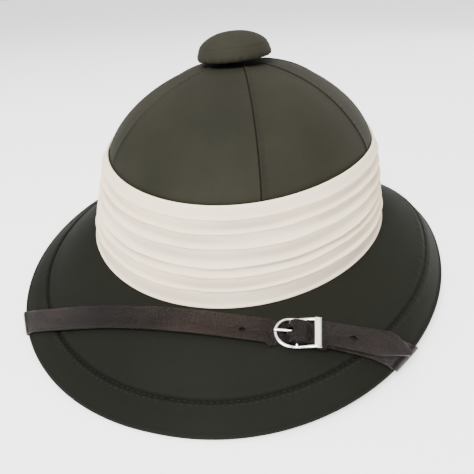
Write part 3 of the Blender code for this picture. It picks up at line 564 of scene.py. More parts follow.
def woven_cloth(name, first, second, weave):
    """Plain woven cotton in two colours that meet in soft patches.

    Warp and weft are sines across the UV map with the thread's pitch; which of
    them is on top alternates like a chessboard, and noise makes both wander.
    Slubs and ladders are noise drawn out along the two threads. The mesh's
    attribute that marks folds blends in a darker colour there: painted shade.
    """
    constants = {
        "Specular IOR Level": weave["gloss"],
        "Sheen Weight": weave["sheen"],
        "Sheen Roughness": 0.5,
        "Sheen Tint": (*weave["sheen_colour"], 1.0),
    }
    finish = Finish(name, constants)
    place = finish.coordinates(3)
    uv = finish.coordinates(2)
    wander = finish.noise(uv, CLOTH_NOISE["wander"]) * (2.5 * weave["thread"])
    across = finish.node("ShaderNodeSeparateXYZ", inputs={0: uv}, output=0) + wander
    along = finish.node("ShaderNodeSeparateXYZ", inputs={0: uv}, output=1) + wander
    rate = np.pi / weave["thread"]
    warp = (across * rate).sine()
    weft = (along * rate).sine()
    checks = warp * weft * 0.5 + 0.5
    rounded = warp.size() * checks + weft.size() * (1.0 - checks)
    slubs = finish.noise(finish.stretched(uv, (0.10, 1.0, 1.0)), CLOTH_NOISE["slubs"])
    ladders = finish.noise(finish.stretched(uv, (1.0, 0.06, 1.0)), CLOTH_NOISE["ladders"])
    patches = finish.noise(place, CLOTH_NOISE["patches"], 3.0)
    broad = finish.noise(place, CLOTH_NOISE["broad"], 1.0)
    fuzz = finish.noise(place, CLOTH_NOISE["fuzz"], 2.0, 0.6)
    finish.bumped(rounded * 0.6 + slubs * 0.5 + ladders * 0.35 + fuzz * 0.4, weave["relief"])
    shade = (patches - 0.5) * weave["mottle"] + (broad - 0.5) * 1.6 + 0.5
    cloth = finish.mix(shade.clipped(), first, second)
    # Painted shade between the threads: the colour is multiplied darker where the threads dip.
    threads = (rounded - 0.5) * 0.30 + (slubs + ladders + fuzz - 1.5) * weave["yarn"] + 0.5
    gap_shade = finish.ramp(threads.clipped(), (0.0, 0.55), (1.0, 0.0))
    woven = finish.mix(gap_shade, cloth, THREAD_GAP_SHADE, "MULTIPLY")
    # Painted shade: the fold attribute pulls the woven colour towards a shade colour in creases, grooves
    # and pleat valleys.
    crease = finish.node("ShaderNodeAttribute", {"attribute_name": "crease"}, output=2)
    finish.drive("Base Color", finish.mix(crease, woven, weave["crease_shade_colour"]))
    finish.drive("Roughness", weave["roughness"] + fuzz * 0.12)
    return finish.material


OLIVE_WEAVE = {
    "thread": 0.42 * MM,
    "relief": 0.10 * MM,
    "gloss": 0.09,
    "roughness": 0.66,
    "sheen": 0.02,
    "sheen_colour": (0.42, 0.42, 0.36),
    # painted shade colour in the groove and in the seams' creases
    "crease_shade_colour": (0.0018, 0.0018, 0.0014),
    "mottle": 0.9,
    "yarn": 0.30,
}
BRIM_CLOTH_SHADED = woven_cloth("brim_cloth_shaded", BRIM_SHADED_GREEN, BRIM_SHADED_BROWN, OLIVE_WEAVE)
BRIM_GRID, BRIM_GROOVE_SHADE = brim_grid(np.arange(0.0, 360.0, BRIM_STEP))
BRIM_MESH = crease_shaded(grid_mesh("brim_cloth_shaded", BRIM_GRID, around_rows=True), BRIM_GROOVE_SHADE)
place_piece(BRIM_MESH, BRIM_CLOTH_SHADED, "olive_cloth", "brim")


def thread_finish():
    """Matt cotton thread, a little lighter than the cloth, its colour varied by fine noise."""
    finish = Finish("olive_thread", {"Specular IOR Level": 0.15})
    grain = finish.noise(finish.coordinates(3), THREAD_FIBRES, 1.0)
    finish.drive("Base Color", finish.mix(grain, THREAD_DARK, THREAD_LIGHT))
    finish.drive("Roughness", 0.62 + grain * 0.2)
    finish.bumped(grain, 0.05 * MM)
    return finish.material


def brim_stitches():
    """Two rows of stitches that hold the groove, one at its foot and one outside it."""
    azimuth = np.arange(0.0, 360.0 + GROOVE_STEP, GROOVE_STEP)
    rows = []
    for shift in (0.0, PADDING_PLACE):
        distance = brim_lines(azimuth)["groove"] + shift
        path = brim_points(azimuth, distance, brim_height(azimuth, distance))
        beyond = distance + 0.5 * MM
        further = brim_points(azimuth, beyond, brim_height(azimuth, beyond, 0.0))
        level = brim_points(azimuth, distance, brim_height(azimuth, distance, 0.0))
        normal = np.cross(further - level, np.gradient(path, axis=0))
        rows.append(stitch_grids(path, normal / np.linalg.norm(normal, axis=1)[:, None]))
    return rows


OLIVE_THREAD = thread_finish()
place_piece(sealed(grid_mesh("brim_stitches", *brim_stitches())), OLIVE_THREAD, "olive_cloth")


# The crown is a stiff shell covered with six panels of the same cloth. Each
# seam laps one panel over the next and is stitched beside its folded edge, and
# all six meet under the button.

SHOULDER = {"length": 208.0 * MM, "width": 183.4 * MM, "back": 6.0 * MM, "right": 2.9 * MM}
SHOULDER_HEIGHTS = {"front": 84.6 * MM, "side": 94.3 * MM, "back": 101.0 * MM}
SHOULDER_RADIUS = (SHOULDER["length"] + SHOULDER["width"]) / 4
CROWN_TOP = np.array([3.4 * MM, AXIS_BACK + 7.0 * MM])
CROWN_TOP_Z = 142.4 * MM
DOME_POWER = 1.36
LAND_RADIUS = 15.5 * MM
CROWN_GAP = 0.3 * MM
FOOT_RISE = 3.0 * MM
SEAMS = (21.3, 73.6, 133.0, 192.5, 252.0, 310.5)
SEAM_REACH = 7.0 * MM
SEAM_RIDGE = 0.30 * MM
SEAM_RIDGE_HALF_WIDTH = 2.6 * MM
SEAM_LAP = 0.42 * MM
SEAM_LAP_WIDTH = 3.4 * MM
SEAM_LAP_SOFTNESS = 0.16 * MM
SEAM_FOLD = 0.20 * MM
SEAM_FOLD_PLACE = 0.55 * MM
SEAM_FOLD_HALF_WIDTH = 0.5 * MM
SEAM_CREASE = 0.45 * MM
SEAM_CREASE_PLACE = -0.2 * MM
SEAM_CREASE_HALF_WIDTH = 0.38 * MM
SEAM_PUCKERS = ((0.07 * MM, 0.60 * MM), (0.05 * MM, 1.05 * MM))
SEAM_PUCKER_HALF_WIDTH = 1.8 * MM
SEAM_STITCH_PLACE = 2.3 * MM
SEAM_STITCH_START = 9.0 * MM
SEAM_STITCH_END = -0.02
DOME_SLACK = 0.22 * MM
LAND_FADE = 5.0 * MM
CROWN_ROWS = 96
CROWN_STEP = 1.5
SEAM_COLUMNS = 35
SEAM_CROWDING = 1.9
# The crown's two olive colours are painted lighter than the brim's copy of the same cloth: painted light,
# which the button shares.
CROWN_LIT_GREEN = (0.0118, 0.0122, 0.0078)
CROWN_LIT_BROWN = (0.0275, 0.0250, 0.0165)


def shoulder_ring(azimuth, offset=0.0):
    """The crown's outer face at the band's top edge, moved out by `offset`."""
    grown = 2 * np.asarray(offset)
    length, width = SHOULDER["length"] + grown, SHOULDER["width"] + grown
    return egg(azimuth, length, width, SHOULDER["back"], SHOULDER["right"])


def wall_points(azimuth, share, offset=0.0):
    """Points of the leaning wall: upright at its foot, then straight to the shoulder."""
    low = saddle(azimuth, COLLAR) + CROWN_GAP
    high = saddle(azimuth, SHOULDER_HEIGHTS)
    rise = FOOT_RISE / (high - low)
    lean = np.clip((share - rise) / (1.0 - rise), 0.0, 1.0)[..., None]
    plan = foot_ring(azimuth, offset) * (1.0 - lean) + shoulder_ring(azimuth, offset) * lean
    return np.concatenate([plan, (low + (high - low) * share)[..., None]], axis=-1)


def dome_normals(azimuth, climb):
    """Unit vectors outwards that turn from level at the shoulder to upright at the top."""
    turn = np.radians(azimuth)
    level = np.cos(climb)
    return np.stack([np.sin(turn) * level, -np.cos(turn) * level, np.sin(climb) + 0 * turn], axis=-1)


def dome_points(azimuth, climb, offset=0.0):
    """Points of the dome, moved out by `offset`.

    The shoulder's ring shrinks with cos(climb) and rises with sin(climb) to the
    power 2 / DOME_POWER, while its centre moves to the top.
    """
    spread = (np.cos(climb) + 0 * azimuth)[..., None]
    height = np.sin(climb) ** (2 / DOME_POWER) + 0 * azimuth
    axis = np.array([SHOULDER["right"], AXIS_BACK])
    plan = (shoulder_ring(azimuth) - axis) * spread + axis + (CROWN_TOP - axis) * height[..., None]
    base = saddle(azimuth, SHOULDER_HEIGHTS)
    points = np.concatenate([plan, (base + (CROWN_TOP_Z - base) * height)[..., None]], axis=-1)
    return points + dome_normals(azimuth, climb) * (offset + 0 * height)[..., None]


def land_climb(radius):
    """The climb at which the dome has a radius."""
    return np.arccos(radius / SHOULDER_RADIUS)


def seam_relief(azimuth, radius, travel):
    """How far the cloth stands out near the seams and between them, and the painted shade of the seams'
    creases.

    A seam is a low bell-shaped ridge. On its far side a smooth step lifts the
    lapped panel, whose height dies away with a bell curve, with a thin fold on
    its edge and a crease before it, whose bell is also painted shade. Sine
    puckers run square to the stitches.
    """
    turn = np.radians(azimuth)
    slack = np.sin(3 * turn + 60.0 * travel + 0.6) + 0.7 * np.sin(5 * turn - 90.0 * travel)
    relief = DOME_SLACK * slack * 0.5
    depth = 0.0
    for index, seam in enumerate(SEAMS):
        apart = (azimuth - seam + 180.0) % 360.0 - 180.0
        distance = np.radians(apart) * radius
        ridge = SEAM_RIDGE * bell(distance, SEAM_RIDGE_HALF_WIDTH)
        step = 0.5 + 0.5 * np.tanh(distance / SEAM_LAP_SOFTNESS)
        lap = step * SEAM_LAP * bell(distance, SEAM_LAP_WIDTH)
        fold = SEAM_FOLD * bell(distance - SEAM_FOLD_PLACE, SEAM_FOLD_HALF_WIDTH)
        crease = bell(distance - SEAM_CREASE_PLACE, SEAM_CREASE_HALF_WIDTH)
        waves = sum(high * np.sin(travel / pitch + 2.1 * index) for high, pitch in SEAM_PUCKERS)
        pucker = waves * bell(distance - SEAM_STITCH_PLACE, SEAM_PUCKER_HALF_WIDTH)
        relief = relief + ridge + lap + fold - SEAM_CREASE * crease + pucker
        # The crease's bell also adds painted shade.
        depth = depth + crease
    return relief, depth


def crown_columns():
    """Azimuths of the crown's columns: even ones, and finer ones towards each seam."""
    share = np.linspace(-1.0, 1.0, SEAM_COLUMNS)
    reach = np.degrees(SEAM_REACH / SHOULDER_RADIUS)
    aside = reach * np.sign(share) * np.abs(share) ** SEAM_CROWDING
    fine = np.concatenate([seam + aside for seam in SEAMS])
    even = np.arange(0.0, 360.0, CROWN_STEP)
    apart = np.abs((even[:, None] - np.array(SEAMS) + 180.0) % 360.0 - 180.0)
    return np.sort(np.concatenate([fine % 360.0, even[(apart > reach + 0.5).all(axis=1)]]))


def shallow_rings(ring, shares):
    """Rings that shrink to the middle of a ring, which they end in."""
    middle = ring.mean(axis=0)
    return middle + (ring - middle) * np.array(shares)[:, None, None]


def crown_grid():
    """Rows down the outside from the top, round the foot and up the inside."""
    azimuth = crown_columns()[None, :]
    last = land_climb(LAND_RADIUS)
    climbs = np.linspace(last, 0.0, CROWN_ROWS)[:, None]
    plain = dome_points(azimuth, climbs)
    radius = np.linalg.norm(plain[..., :2] - plain[..., :2].mean(axis=1, keepdims=True), axis=-1)
    fade = np.clip((radius - LAND_RADIUS) / LAND_FADE, 0.0, 1.0)
    travel = (last - climbs) * SHOULDER_RADIUS
    relief, depth = seam_relief(azimuth, radius, travel)
    dome = dome_points(azimuth, climbs, relief * fade)
    shares = np.array([0.0, 0.05, 0.2, 0.4, 0.6, 0.8, 0.93])[:, None] + 0 * azimuth
    wall = wall_points(azimuth, shares[::-1])
    inner_wall = wall_points(azimuth, shares, -CROWN_WALL)
    inner_dome = dome_points(azimuth, climbs[::-6], -CROWN_WALL)
    top = shallow_rings(dome[0], (0.02, 0.5))
    inner_top = shallow_rings(inner_dome[-1], (0.5, 0.02))
    grid = np.concatenate([top, dome, wall, inner_wall, inner_dome, inner_top])
    # Painted shade in the seams' creases, faded out towards the button.
    crease = np.zeros(grid.shape[:2])
    crease[len(top):len(top) + len(dome)] = depth * fade
    return grid, crease


def crown_stitches():
    """A row of stitches down each lapped panel, beside its folded edge."""
    climb = np.linspace(land_climb(LAND_RADIUS + SEAM_STITCH_START), SEAM_STITCH_END, 90)
    radius = SHOULDER_RADIUS * np.cos(climb)
    travel = (climb[0] - climb) * SHOULDER_RADIUS
    rows = []
    for seam in SEAMS:
        azimuth = seam + np.degrees(SEAM_STITCH_PLACE / radius)
        relief = seam_relief(azimuth, radius, travel)[0]
        path = dome_points(azimuth, np.maximum(climb, 0.0), relief)
        rows.append(stitch_grids(path, dome_normals(azimuth, climb)))
    return rows


CROWN_CLOTH_LIT = woven_cloth("crown_cloth_lit", CROWN_LIT_GREEN, CROWN_LIT_BROWN, OLIVE_WEAVE)
CROWN_GRID, CROWN_SEAM_SHADE = crown_grid()
CROWN_MESH = crease_shaded(grid_mesh("crown_cloth_lit", CROWN_GRID), CROWN_SEAM_SHADE)
place_piece(sealed(CROWN_MESH), CROWN_CLOTH_LIT, "olive_cloth", "crown")
place_piece(sealed(grid_mesh("crown_stitches", *crown_stitches())), OLIVE_THREAD, "olive_cloth")


# The button is a padded disc covered with a round of the same cloth, which is
# gathered under it and sewn down over the point where the panels meet. It
# leans a little to the left.

BUTTON = {"diameter": 52.0 * MM, "height": 18.4 * MM, "undercut": 1.6 * MM, "foot": 20.0 * MM}
BUTTON_LEFT = 0.6 * MM
BUTTON_LEAN = np.radians(4.0)
BUTTON_SOFTNESS = 0.5 * MM
BUTTON_GATHER = 0.30 * MM
BUTTON_RIM_DRAWN_IN = 0.4 * MM
BUTTON_ROWS = 80
BUTTON_COLUMNS = 300
BUTTON_PROFILE = (
    # radius share, height share above the undercut
    (0.00, 1.000),
    (0.22, 0.985),
    (0.45, 0.920),
    (0.66, 0.800),
    (0.83, 0.630),
    (0.94, 0.430),
    (0.99, 0.240),
    (1.00, 0.130),
    (0.985, 0.045),
    (0.93, 0.000),
    (0.80, -0.010),
    (0.60, -0.015),
    (0.42, -0.020),
)


def smooth_line(points, count):
    """Points spaced evenly in number along a Catmull-Rom curve through the given ones."""
    points = np.array(points, float)
    padded = np.vstack([2 * points[0] - points[1], points, 2 * points[-1] - points[-2]])
    u = np.linspace(0.0, len(points) - 1.0001, count)
    k = u.astype(int)
    t = (u - k)[:, None]
    a, b, c, d = padded[k], padded[k + 1], padded[k + 2], padded[k + 3]
    doubled = 2 * b + (c - a) * t + (2 * a - 5 * b + 4 * c - d) * t ** 2 + (3 * b - a - 3 * c + d) * t ** 3
    return doubled / 2


def button_grid():
    """The profile turned about the button's axis, which leans.

    Low sines round the axis make the padding uneven, a shallow bell-shaped fold
    runs round above the rim, and gathers grow towards the foot.
    """
    profile = smooth_line(BUTTON_PROFILE, BUTTON_ROWS)
    foot = BUTTON["foot"] / BUTTON["diameter"]
    profile = np.vstack([profile, [(foot, -0.03), (foot, -BUTTON["undercut"] / BUTTON["height"])]])
    radius = np.maximum(profile[:, :1], 0.01)
    height = profile[:, 1:]
    turn = np.linspace(0.0, 2 * np.pi, BUTTON_COLUMNS, endpoint=False)[None, :]
    under = np.clip((0.22 - height) / 0.2, 0.0, 1.0) * (radius > foot + 0.03)
    gather = np.sin(23 * turn + 0.8 * np.sin(3 * turn)) + 0.6 * np.sin(37 * turn + 1.0)
    lumps = np.sin(2 * turn + 0.5) + 0.6 * np.sin(3 * turn + 2.0) + 0.3 * np.sin(5 * turn)
    fold = bell(height - 0.30 - 0.04 * np.sin(turn + 2.0), 0.06) * (0.6 + 0.4 * np.sin(turn - 2.2))
    soft = BUTTON_SOFTNESS * (lumps * 0.5 * radius - 0.5 * fold) * (radius > foot + 0.03)
    gathered = BUTTON_GATHER * under * (gather - 1)
    reach = BUTTON["diameter"] / 2 * radius - BUTTON_RIM_DRAWN_IN * (radius > 0.9) + soft + gathered
    rise = BUTTON["height"] - BUTTON["undercut"]
    z = BUTTON["undercut"] + rise * height + 0.4 * soft * (height > 0.3) + 0 * turn
    z = np.maximum(z, 0.0)
    x, y = reach * np.sin(turn), -reach * np.cos(turn)
    lean_cos, lean_sin = np.cos(BUTTON_LEAN), np.sin(BUTTON_LEAN)
    land = dome_points(np.arange(0.0, 360.0, 5.0), land_climb(LAND_RADIUS))[:, 2].mean()
    base = land + CROWN_GAP + BUTTON["foot"] / 2 * lean_sin
    place = np.array([-BUTTON_LEFT, CROWN_TOP[1], base])
    return place + np.stack([x * lean_cos - z * lean_sin, y, z * lean_cos + x * lean_sin], axis=-1)


BUTTON_MESH = sealed(grid_mesh("button_cloth", button_grid()))
BUTTON_PIECE = place_piece(BUTTON_MESH, CROWN_CLOTH_LIT, "olive_cloth", "button")


# The puggaree is a long strip of ivory cotton that is laid in six soft pleats
# round the crown's wall, with its top and bottom edges turned in. Its ends lap
# at the back.

BAND_GAP = 0.35 * MM
BAND_CLOTH = 0.6 * MM
BAND_HEM = 3.3 * MM
BAND_TOP = 1.9 * MM
BAND_TURNED_IN = 0.30 * MM
BAND_END_AZIMUTH = 186.0
BAND_END_LAP = 0.45 * MM
PLEAT_RIDGE = 3.35 * MM
PLEAT_LIP = 0.42 * MM
PLEAT_VALLEY = 1.45 * MM
PLEATS = (
    # ridge height share, valley height share
    (0.88, 0.79),
    (0.745, 0.66),
    (0.60, 0.50),
    (0.425, 0.38),
    (0.33, 0.21),
    (0.19, 0.07),
)
PLEAT_SHAPE = (
    # share of the way from ridge to valley (0 to 1) and on to the next ridge
    # (1 to 2), share of the ridge's depth, share of the lip
    (0.00, 1.00, 1.00),
    (0.03, 0.99, 0.90),
    (0.07, 0.93, 0.30),
    (0.13, 0.80, 0.00),
    (0.25, 0.60, 0.00),
    (0.45, 0.34, 0.00),
    (0.70, 0.11, 0.00),
    (0.92, 0.01, 0.00),
    (1.10, 0.00, 0.00),
    (1.30, 0.09, 0.00),
    (1.50, 0.29, 0.00),
    (1.70, 0.55, 0.00),
    (1.85, 0.78, 0.00),
    (1.94, 0.91, 0.08),
    (1.98, 0.97, 0.55),
)
COTTON_IVORY = (0.98, 0.845, 0.64)
COTTON_CREAM = (0.94, 0.775, 0.54)
BAND_STEP = 0.8


def pleat_section():
    """Height share, depth, pleat number and painted shade of each row of the band, from the top down."""
    rows = [(0.955, BAND_TURNED_IN, 0, 0.0), (0.985, BAND_TURNED_IN, 0, 0.0)]
    edge = [(0.997, 0.6), (1.0, 0.95), (0.996, 1.05)]
    rows += [(high, depth * BAND_TOP, 0, 0.0) for high, depth in edge]
    first = PLEATS[0][0]
    # A little painted shade between the top edge and the first ridge.
    for u in np.linspace(0.0, 1.0, 7)[1:-1]:
        out = BAND_TOP + (PLEAT_RIDGE - BAND_TOP) * u ** 1.5
        rows.append((0.985 + (first - 0.985) * u, out, 0, 0.25 * arch(u)))
    ends = [ridge for ridge, _ in PLEATS[1:]] + [-0.03]
    # In each pleat the painted shade grows towards the valley.
    for index, ((ridge, valley), following) in enumerate(zip(PLEATS, ends)):
        for way, depth, lip in PLEAT_SHAPE:
            low = np.interp(way, (0.0, 1.0, 2.0), (ridge, valley, following))
            out = PLEAT_VALLEY + (PLEAT_RIDGE - PLEAT_VALLEY) * depth + PLEAT_LIP * lip
            if low > 0.02:
                rows.append((low, out, index, 0.75 * (1.0 - depth) ** 2.0))
    last = len(PLEATS) - 1
    hem = [(0.012, 1.0), (0.0, 0.93), (-0.006, 0.75), (0.0, 0.45)]
    rows += [(low, depth * BAND_HEM, last, 0.0) for low, depth in hem]
    rows += [(0.02, BAND_TURNED_IN, last, 0.0), (0.07, BAND_TURNED_IN, last, 0.0)]
    return np.array(rows)


def puggaree_grid(azimuth):
    """The cotton's outer face, from the edge turned in at the top to the one below.

    The ridges wander up and down with sums of sines round the hat and their
    depth varies with others, while both edges stay level. Past the back a
    smooth step lifts the end that laps over the other.
    """
    share, depth, index, crease = (column[:, None] for column in pleat_section().T)
    turn = np.radians(azimuth)[None, :]
    phase = 1.7 * index
    drift = 0.0045 * np.sin(2 * turn + phase) + 0.0035 * np.sin(5 * turn + 2.2 * phase)
    drift = drift + 0.0022 * np.sin(13 * turn + 3.1 * phase)
    height = share + drift * arch(np.clip(share, 0.0, 1.0))
    slack = 0.07 * np.sin(4 * turn + phase) + 0.05 * np.sin(9 * turn + 1.3 * phase)
    slack = slack + 0.04 * np.sin(23 * turn + 2.6 * phase + 40.0 * share)
    pleated = np.clip(arch(np.clip(share, 0.0, 1.0)) * 4, 0.0, 1.0) * (depth > BAND_TURNED_IN)
    out = depth * (1.0 + slack * pleated)
    past = azimuth[None, :] - BAND_END_AZIMUTH
    lap = 0.5 * (1 + np.tanh(past / 0.15)) * bell(np.maximum(past, 0.0), 14.0)
    out = out + BAND_END_LAP * lap * (depth > 2 * BAND_TURNED_IN)
    flat = azimuth[None, :] + 0 * share
    # The pleats' painted shade varies round the hat with sines.
    uneven = 1.0 + 0.25 * np.sin(3 * turn + 2 * phase) + 0.2 * np.sin(7 * turn + phase)
    return wall_points(flat, height + 0 * turn, BAND_GAP + out), crease * uneven


COTTON_WEAVE = {
    "thread": 0.36 * MM,
    "relief": 0.035 * MM,
    "roughness": 0.82,
    "gloss": 0.25,
    "sheen": 0.05,
    "sheen_colour": (0.90, 0.86, 0.80),
    # warm painted shade in the pleats' valleys
    "crease_shade_colour": (0.52, 0.42, 0.33),
    "mottle": 0.6,
    "yarn": 0.10,
}
BAND_COTTON = woven_cloth("ivory_cotton", COTTON_CREAM, COTTON_IVORY, COTTON_WEAVE)
BAND_LAP_COLUMNS = BAND_END_AZIMUTH + np.arange(-0.35, 0.4, 0.1)
BAND_AROUND = np.sort(np.concatenate([np.arange(0.0, 360.0, BAND_STEP), BAND_LAP_COLUMNS]))
BAND_GRID, BAND_PLEAT_SHADE = puggaree_grid(BAND_AROUND)
BAND_MESH = crease_shaded(grid_mesh("puggaree_cloth", BAND_GRID), BAND_PLEAT_SHADE)
PUGGAREE = place_piece(BAND_MESH, BAND_COTTON, "ivory_cotton", "puggaree")
BAND_WALL = PUGGAREE.modifiers.new("cloth", "SOLIDIFY")
BAND_WALL.thickness = BAND_CLOTH
BAND_WALL.offset = -1.0


# The chin strap is two lengths of brown leather. Each starts sewn under the
# brim at a temple and wraps round the brim's edge. The short one is folded
# round the buckle's bar, and the long one runs through the buckle over it.

STRAP_WIDTH = 17.0 * MM
LEATHER = 1.5 * MM
LEATHER_EDGE_POWER = 14
LEATHER_EDGE_LINE = 0.05 * MM
SKIVED = 0.45
SKIVED_FROM = 108.0 * MM
EDGE_WRAP_HEIGHT = 8.0 * MM
STRAP_CLEARANCE = 1.2 * MM
STRAP_SLANT = 2.0
STRAP_TURN = 5.0
STRAP_SQUEEZED = 12.8 * MM
STRAP_CROWN = 1.0 * MM
STRAP_STEP = 2.5 * MM
FIT_GAP = 0.3 * MM
ANCHOR_AZIMUTH = 80.0
ANCHOR_MARGIN = 1.5 * MM
BUCKLE_RIGHT = 61.0 * MM
BUCKLE_LENGTH = 25.2 * MM
BUCKLE_WIRE = 1.8 * MM
WIDE_BAR = {"width": 3.8 * MM, "thickness": 1.4 * MM}
CENTRE_BAR = 2.0 * MM
PRONG = 1.6 * MM
TAIL_PAST_EDGE = 3.0 * MM
TAIL_LIFT = 4.5 * MM
TAIL_POINT = 13.0 * MM
TAIL_TIP_WIDTH = 2.0 * MM
HOLE_SPACING = 29.7 * MM
HOLE_DIAMETER = 3.0 * MM
PRONG_HOLE = (-7.4 * MM, -2.5 * MM)
FOLD_SLOT = {"length": 7.0 * MM, "width": 3.0 * MM}
STRAP_HUMP = (
    # distance from the bar as a share of half the buckle's length, at the
    # strap's middle and at its edges, and share of the rise over the fold
    (-0.86, -0.66, 0.00),
    (-0.60, -0.36, 0.04),
    (-0.48, -0.30, 0.30),
    (-0.34, -0.24, 0.68),
    (-0.22, -0.19, 0.94),
    (-0.06, -0.06, 1.02),
    (0.12, 0.12, 1.00),
)
STRAP_FALL = (
    # distance as a share of half the buckle's length, share of the rise that is left
    (0.26, 0.86),
    (0.42, 0.40),
    (0.56, 0.08),
    (0.66, 0.00),
    (0.90, 0.00),
)
FOLD_FALL = (
    # distance and height of the short strap's upper leaf, as above
    (0.14, 0.90),
    (0.24, 0.62),
    (0.34, 0.30),
    (0.50, 0.00),
)
FOLD_END = 0.6
LINES = np.linspace(-0.5, 0.5, 7) * STRAP_WIDTH
HULL_STATIONS = 140
BRIM_TREE = BVHTree.FromPolygons(
    [tuple(vertex.co) for vertex in BRIM_MESH.vertices],
    [tuple(face.vertices) for face in BRIM_MESH.polygons],
)
LEATHER_DARK = (0.0010, 0.0004, 0.0003)
LEATHER_LIGHT = (0.0200, 0.0125, 0.0112)
LEATHER_NOISE = {
    # cells in a metre
    "drift": 400.0,
    "pebbles": 850.0,
    "grains": 2100.0,
    "dye": 26.0,
    "wear": 60.0,
}
LEATHER_DRIFT = 1.2 * MM
LEATHER_RELIEF = 0.30 * MM


def brim_face(points, up):
    """Heights of the brim's top (up is 1) or under face (up is -1) at points."""
    heights = []
    for x, y in points[..., :2].reshape(-1, 2):
        hit = BRIM_TREE.ray_cast(Vector((x, y, up)), Vector((0.0, 0.0, -up)))[0]
        heights.append(hit.z if hit else -up)
    return np.array(heights).reshape(points.shape[:-1])


def unit(vector):
    """The vector at length one."""
    return vector / np.linalg.norm(vector)


def level(plan, z):
    """Lift plan points to height z."""
    return np.concatenate([plan, np.broadcast_to(z, plan.shape[:-1])[..., None]], axis=-1)


def taut(distance, height):
    """The line that a strap pulled tight over these heights takes: their upper hull."""
    hull = [0]
    for k in range(1, len(distance)):
        while len(hull) > 1:
            a, b = hull[-2], hull[-1]
            climb = (height[b] - height[a]) * (distance[k] - distance[a])
            if climb > (height[k] - height[a]) * (distance[b] - distance[a]):
                break
            hull.pop()
        hull.append(k)
    return np.interp(distance, distance[hull], height[hull])


def directions(slant):
    """Unit vectors along and across a line in plan that is turned backwards by `slant`."""
    turn = np.radians(slant)
    return np.array([np.cos(turn), np.sin(turn)]), np.array([-np.sin(turn), np.cos(turn)])


def strap_track(side=-1):
    """A point of the strap's middle line in plan, and unit vectors along and across it.

    The line passes in front of the puggaree's foot with a clearance, and from
    the buckle's curved end on (side is 1) it is turned backwards.
    """
    along, across = directions(STRAP_SLANT)
    front = foot_ring(0.0, BAND_GAP + BAND_HEM)
    middle = front - across * (STRAP_CLEARANCE + STRAP_WIDTH / 2)
    if side < 0:
        return middle, along, across
    left_end = BUCKLE_RIGHT - BUCKLE_LENGTH / 2
    pivot = middle + along * (left_end - middle[0]) / along[0]
    return pivot, *directions(STRAP_SLANT + STRAP_TURN)


def tight_rows(first, last, up):
    """Rows of a strap pulled tight over the brim (up is 1) or under it (up is -1).

    Each line along the strap is the hull of the brim's heights under it, and no
    point lies nearer the brim than its row's mean, because leather doesn't dish.
    """
    stations = np.linspace(0.0, 1.0, max(4, int(np.linalg.norm(last[3] - first[3]) / STRAP_STEP)))
    share = np.linspace(0.0, 1.0, HULL_STATIONS)
    line = first + (last - first) * share[:, None, None]
    height = up * brim_face(line, up) + FIT_GAP
    height[0], height[-1] = up * first[:, 2], up * last[:, 2]
    for j in range(len(LINES)):
        line[:, j, 2] = up * taut(share, height[:, j])
    between = up * line[1:-1, :, 2]
    line[1:-1, :, 2] = up * np.maximum(between, between.mean(axis=1, keepdims=True))
    flat = line.reshape(len(share), -1)
    rows = np.stack([np.interp(stations, share, column) for column in flat.T], axis=-1)
    return rows.reshape(len(stations), len(LINES), 3)


def edge_crossing(side):
    """Where the strap's middle line crosses the brim edge's upper corner.

    Returns the plan point, unit vectors outwards and backwards along the edge,
    and a function that gives the edge's lift at a distance along it.
    """
    azimuth = side * np.linspace(1.0, 89.0, 1761)
    line = brim_lines(azimuth)
    inwards = EDGE_CORNER / line["width"][:, None]
    corner = line["outer"] + (line["inner"] - line["outer"]) * inwards
    middle, _, across = strap_track(side)
    k = np.argmin(np.abs((corner - middle) @ across))
    backwards = unit(corner[k + 1] - corner[k - 1])
    out = np.array([backwards[1], -backwards[0]]) * side
    distance = (corner - corner[k]) @ backwards
    return corner[k], out, backwards, lambda b: np.interp(b, distance, line["lift"])


def wrapped_run(side):
    """Strap rows from the end sewn under the brim at the temple, round the brim's edge.

    The strap comes round the edge as a flat band that is folded over it, on half
    an ellipse, and runs straight to the temple, where it is cut square.
    """
    point, out, backwards, lift = edge_crossing(side)
    _, along, across = strap_track(side)
    onward = side * along
    drift = (onward @ backwards) / (onward @ out)
    reach_out = EDGE_CORNER + FIT_GAP
    reach_up = EDGE_THICKNESS / 2 + FIT_GAP
    turn = np.linspace(0.0, np.pi, 15)[:, None]
    b = LINES / (backwards @ across) + (reach_out + reach_up) / 2 * turn * drift
    plan = point + backwards * b[..., None] + out * (reach_out * np.sin(turn))[..., None]
    edge_rows = level(plan, lift(b) + EDGE_THICKNESS / 2 + reach_up * np.cos(turn))
    begin = edge_rows[-1]
    anchor = foot_ring(side * ANCHOR_AZIMUTH, STRAP_WIDTH / 2 + ANCHOR_MARGIN - CROWN_WALL)
    way = unit(anchor - begin[3, :2])
    square = np.array([way[1], -way[0]])
    square *= np.sign((begin[-1] - begin[0])[:2] @ square)
    end = anchor + square * LINES[:, None]
    end = level(end, brim_face(end, -1) - FIT_GAP)
    return np.concatenate([tight_rows(end, begin, -1)[:-1], edge_rows[::-1]])


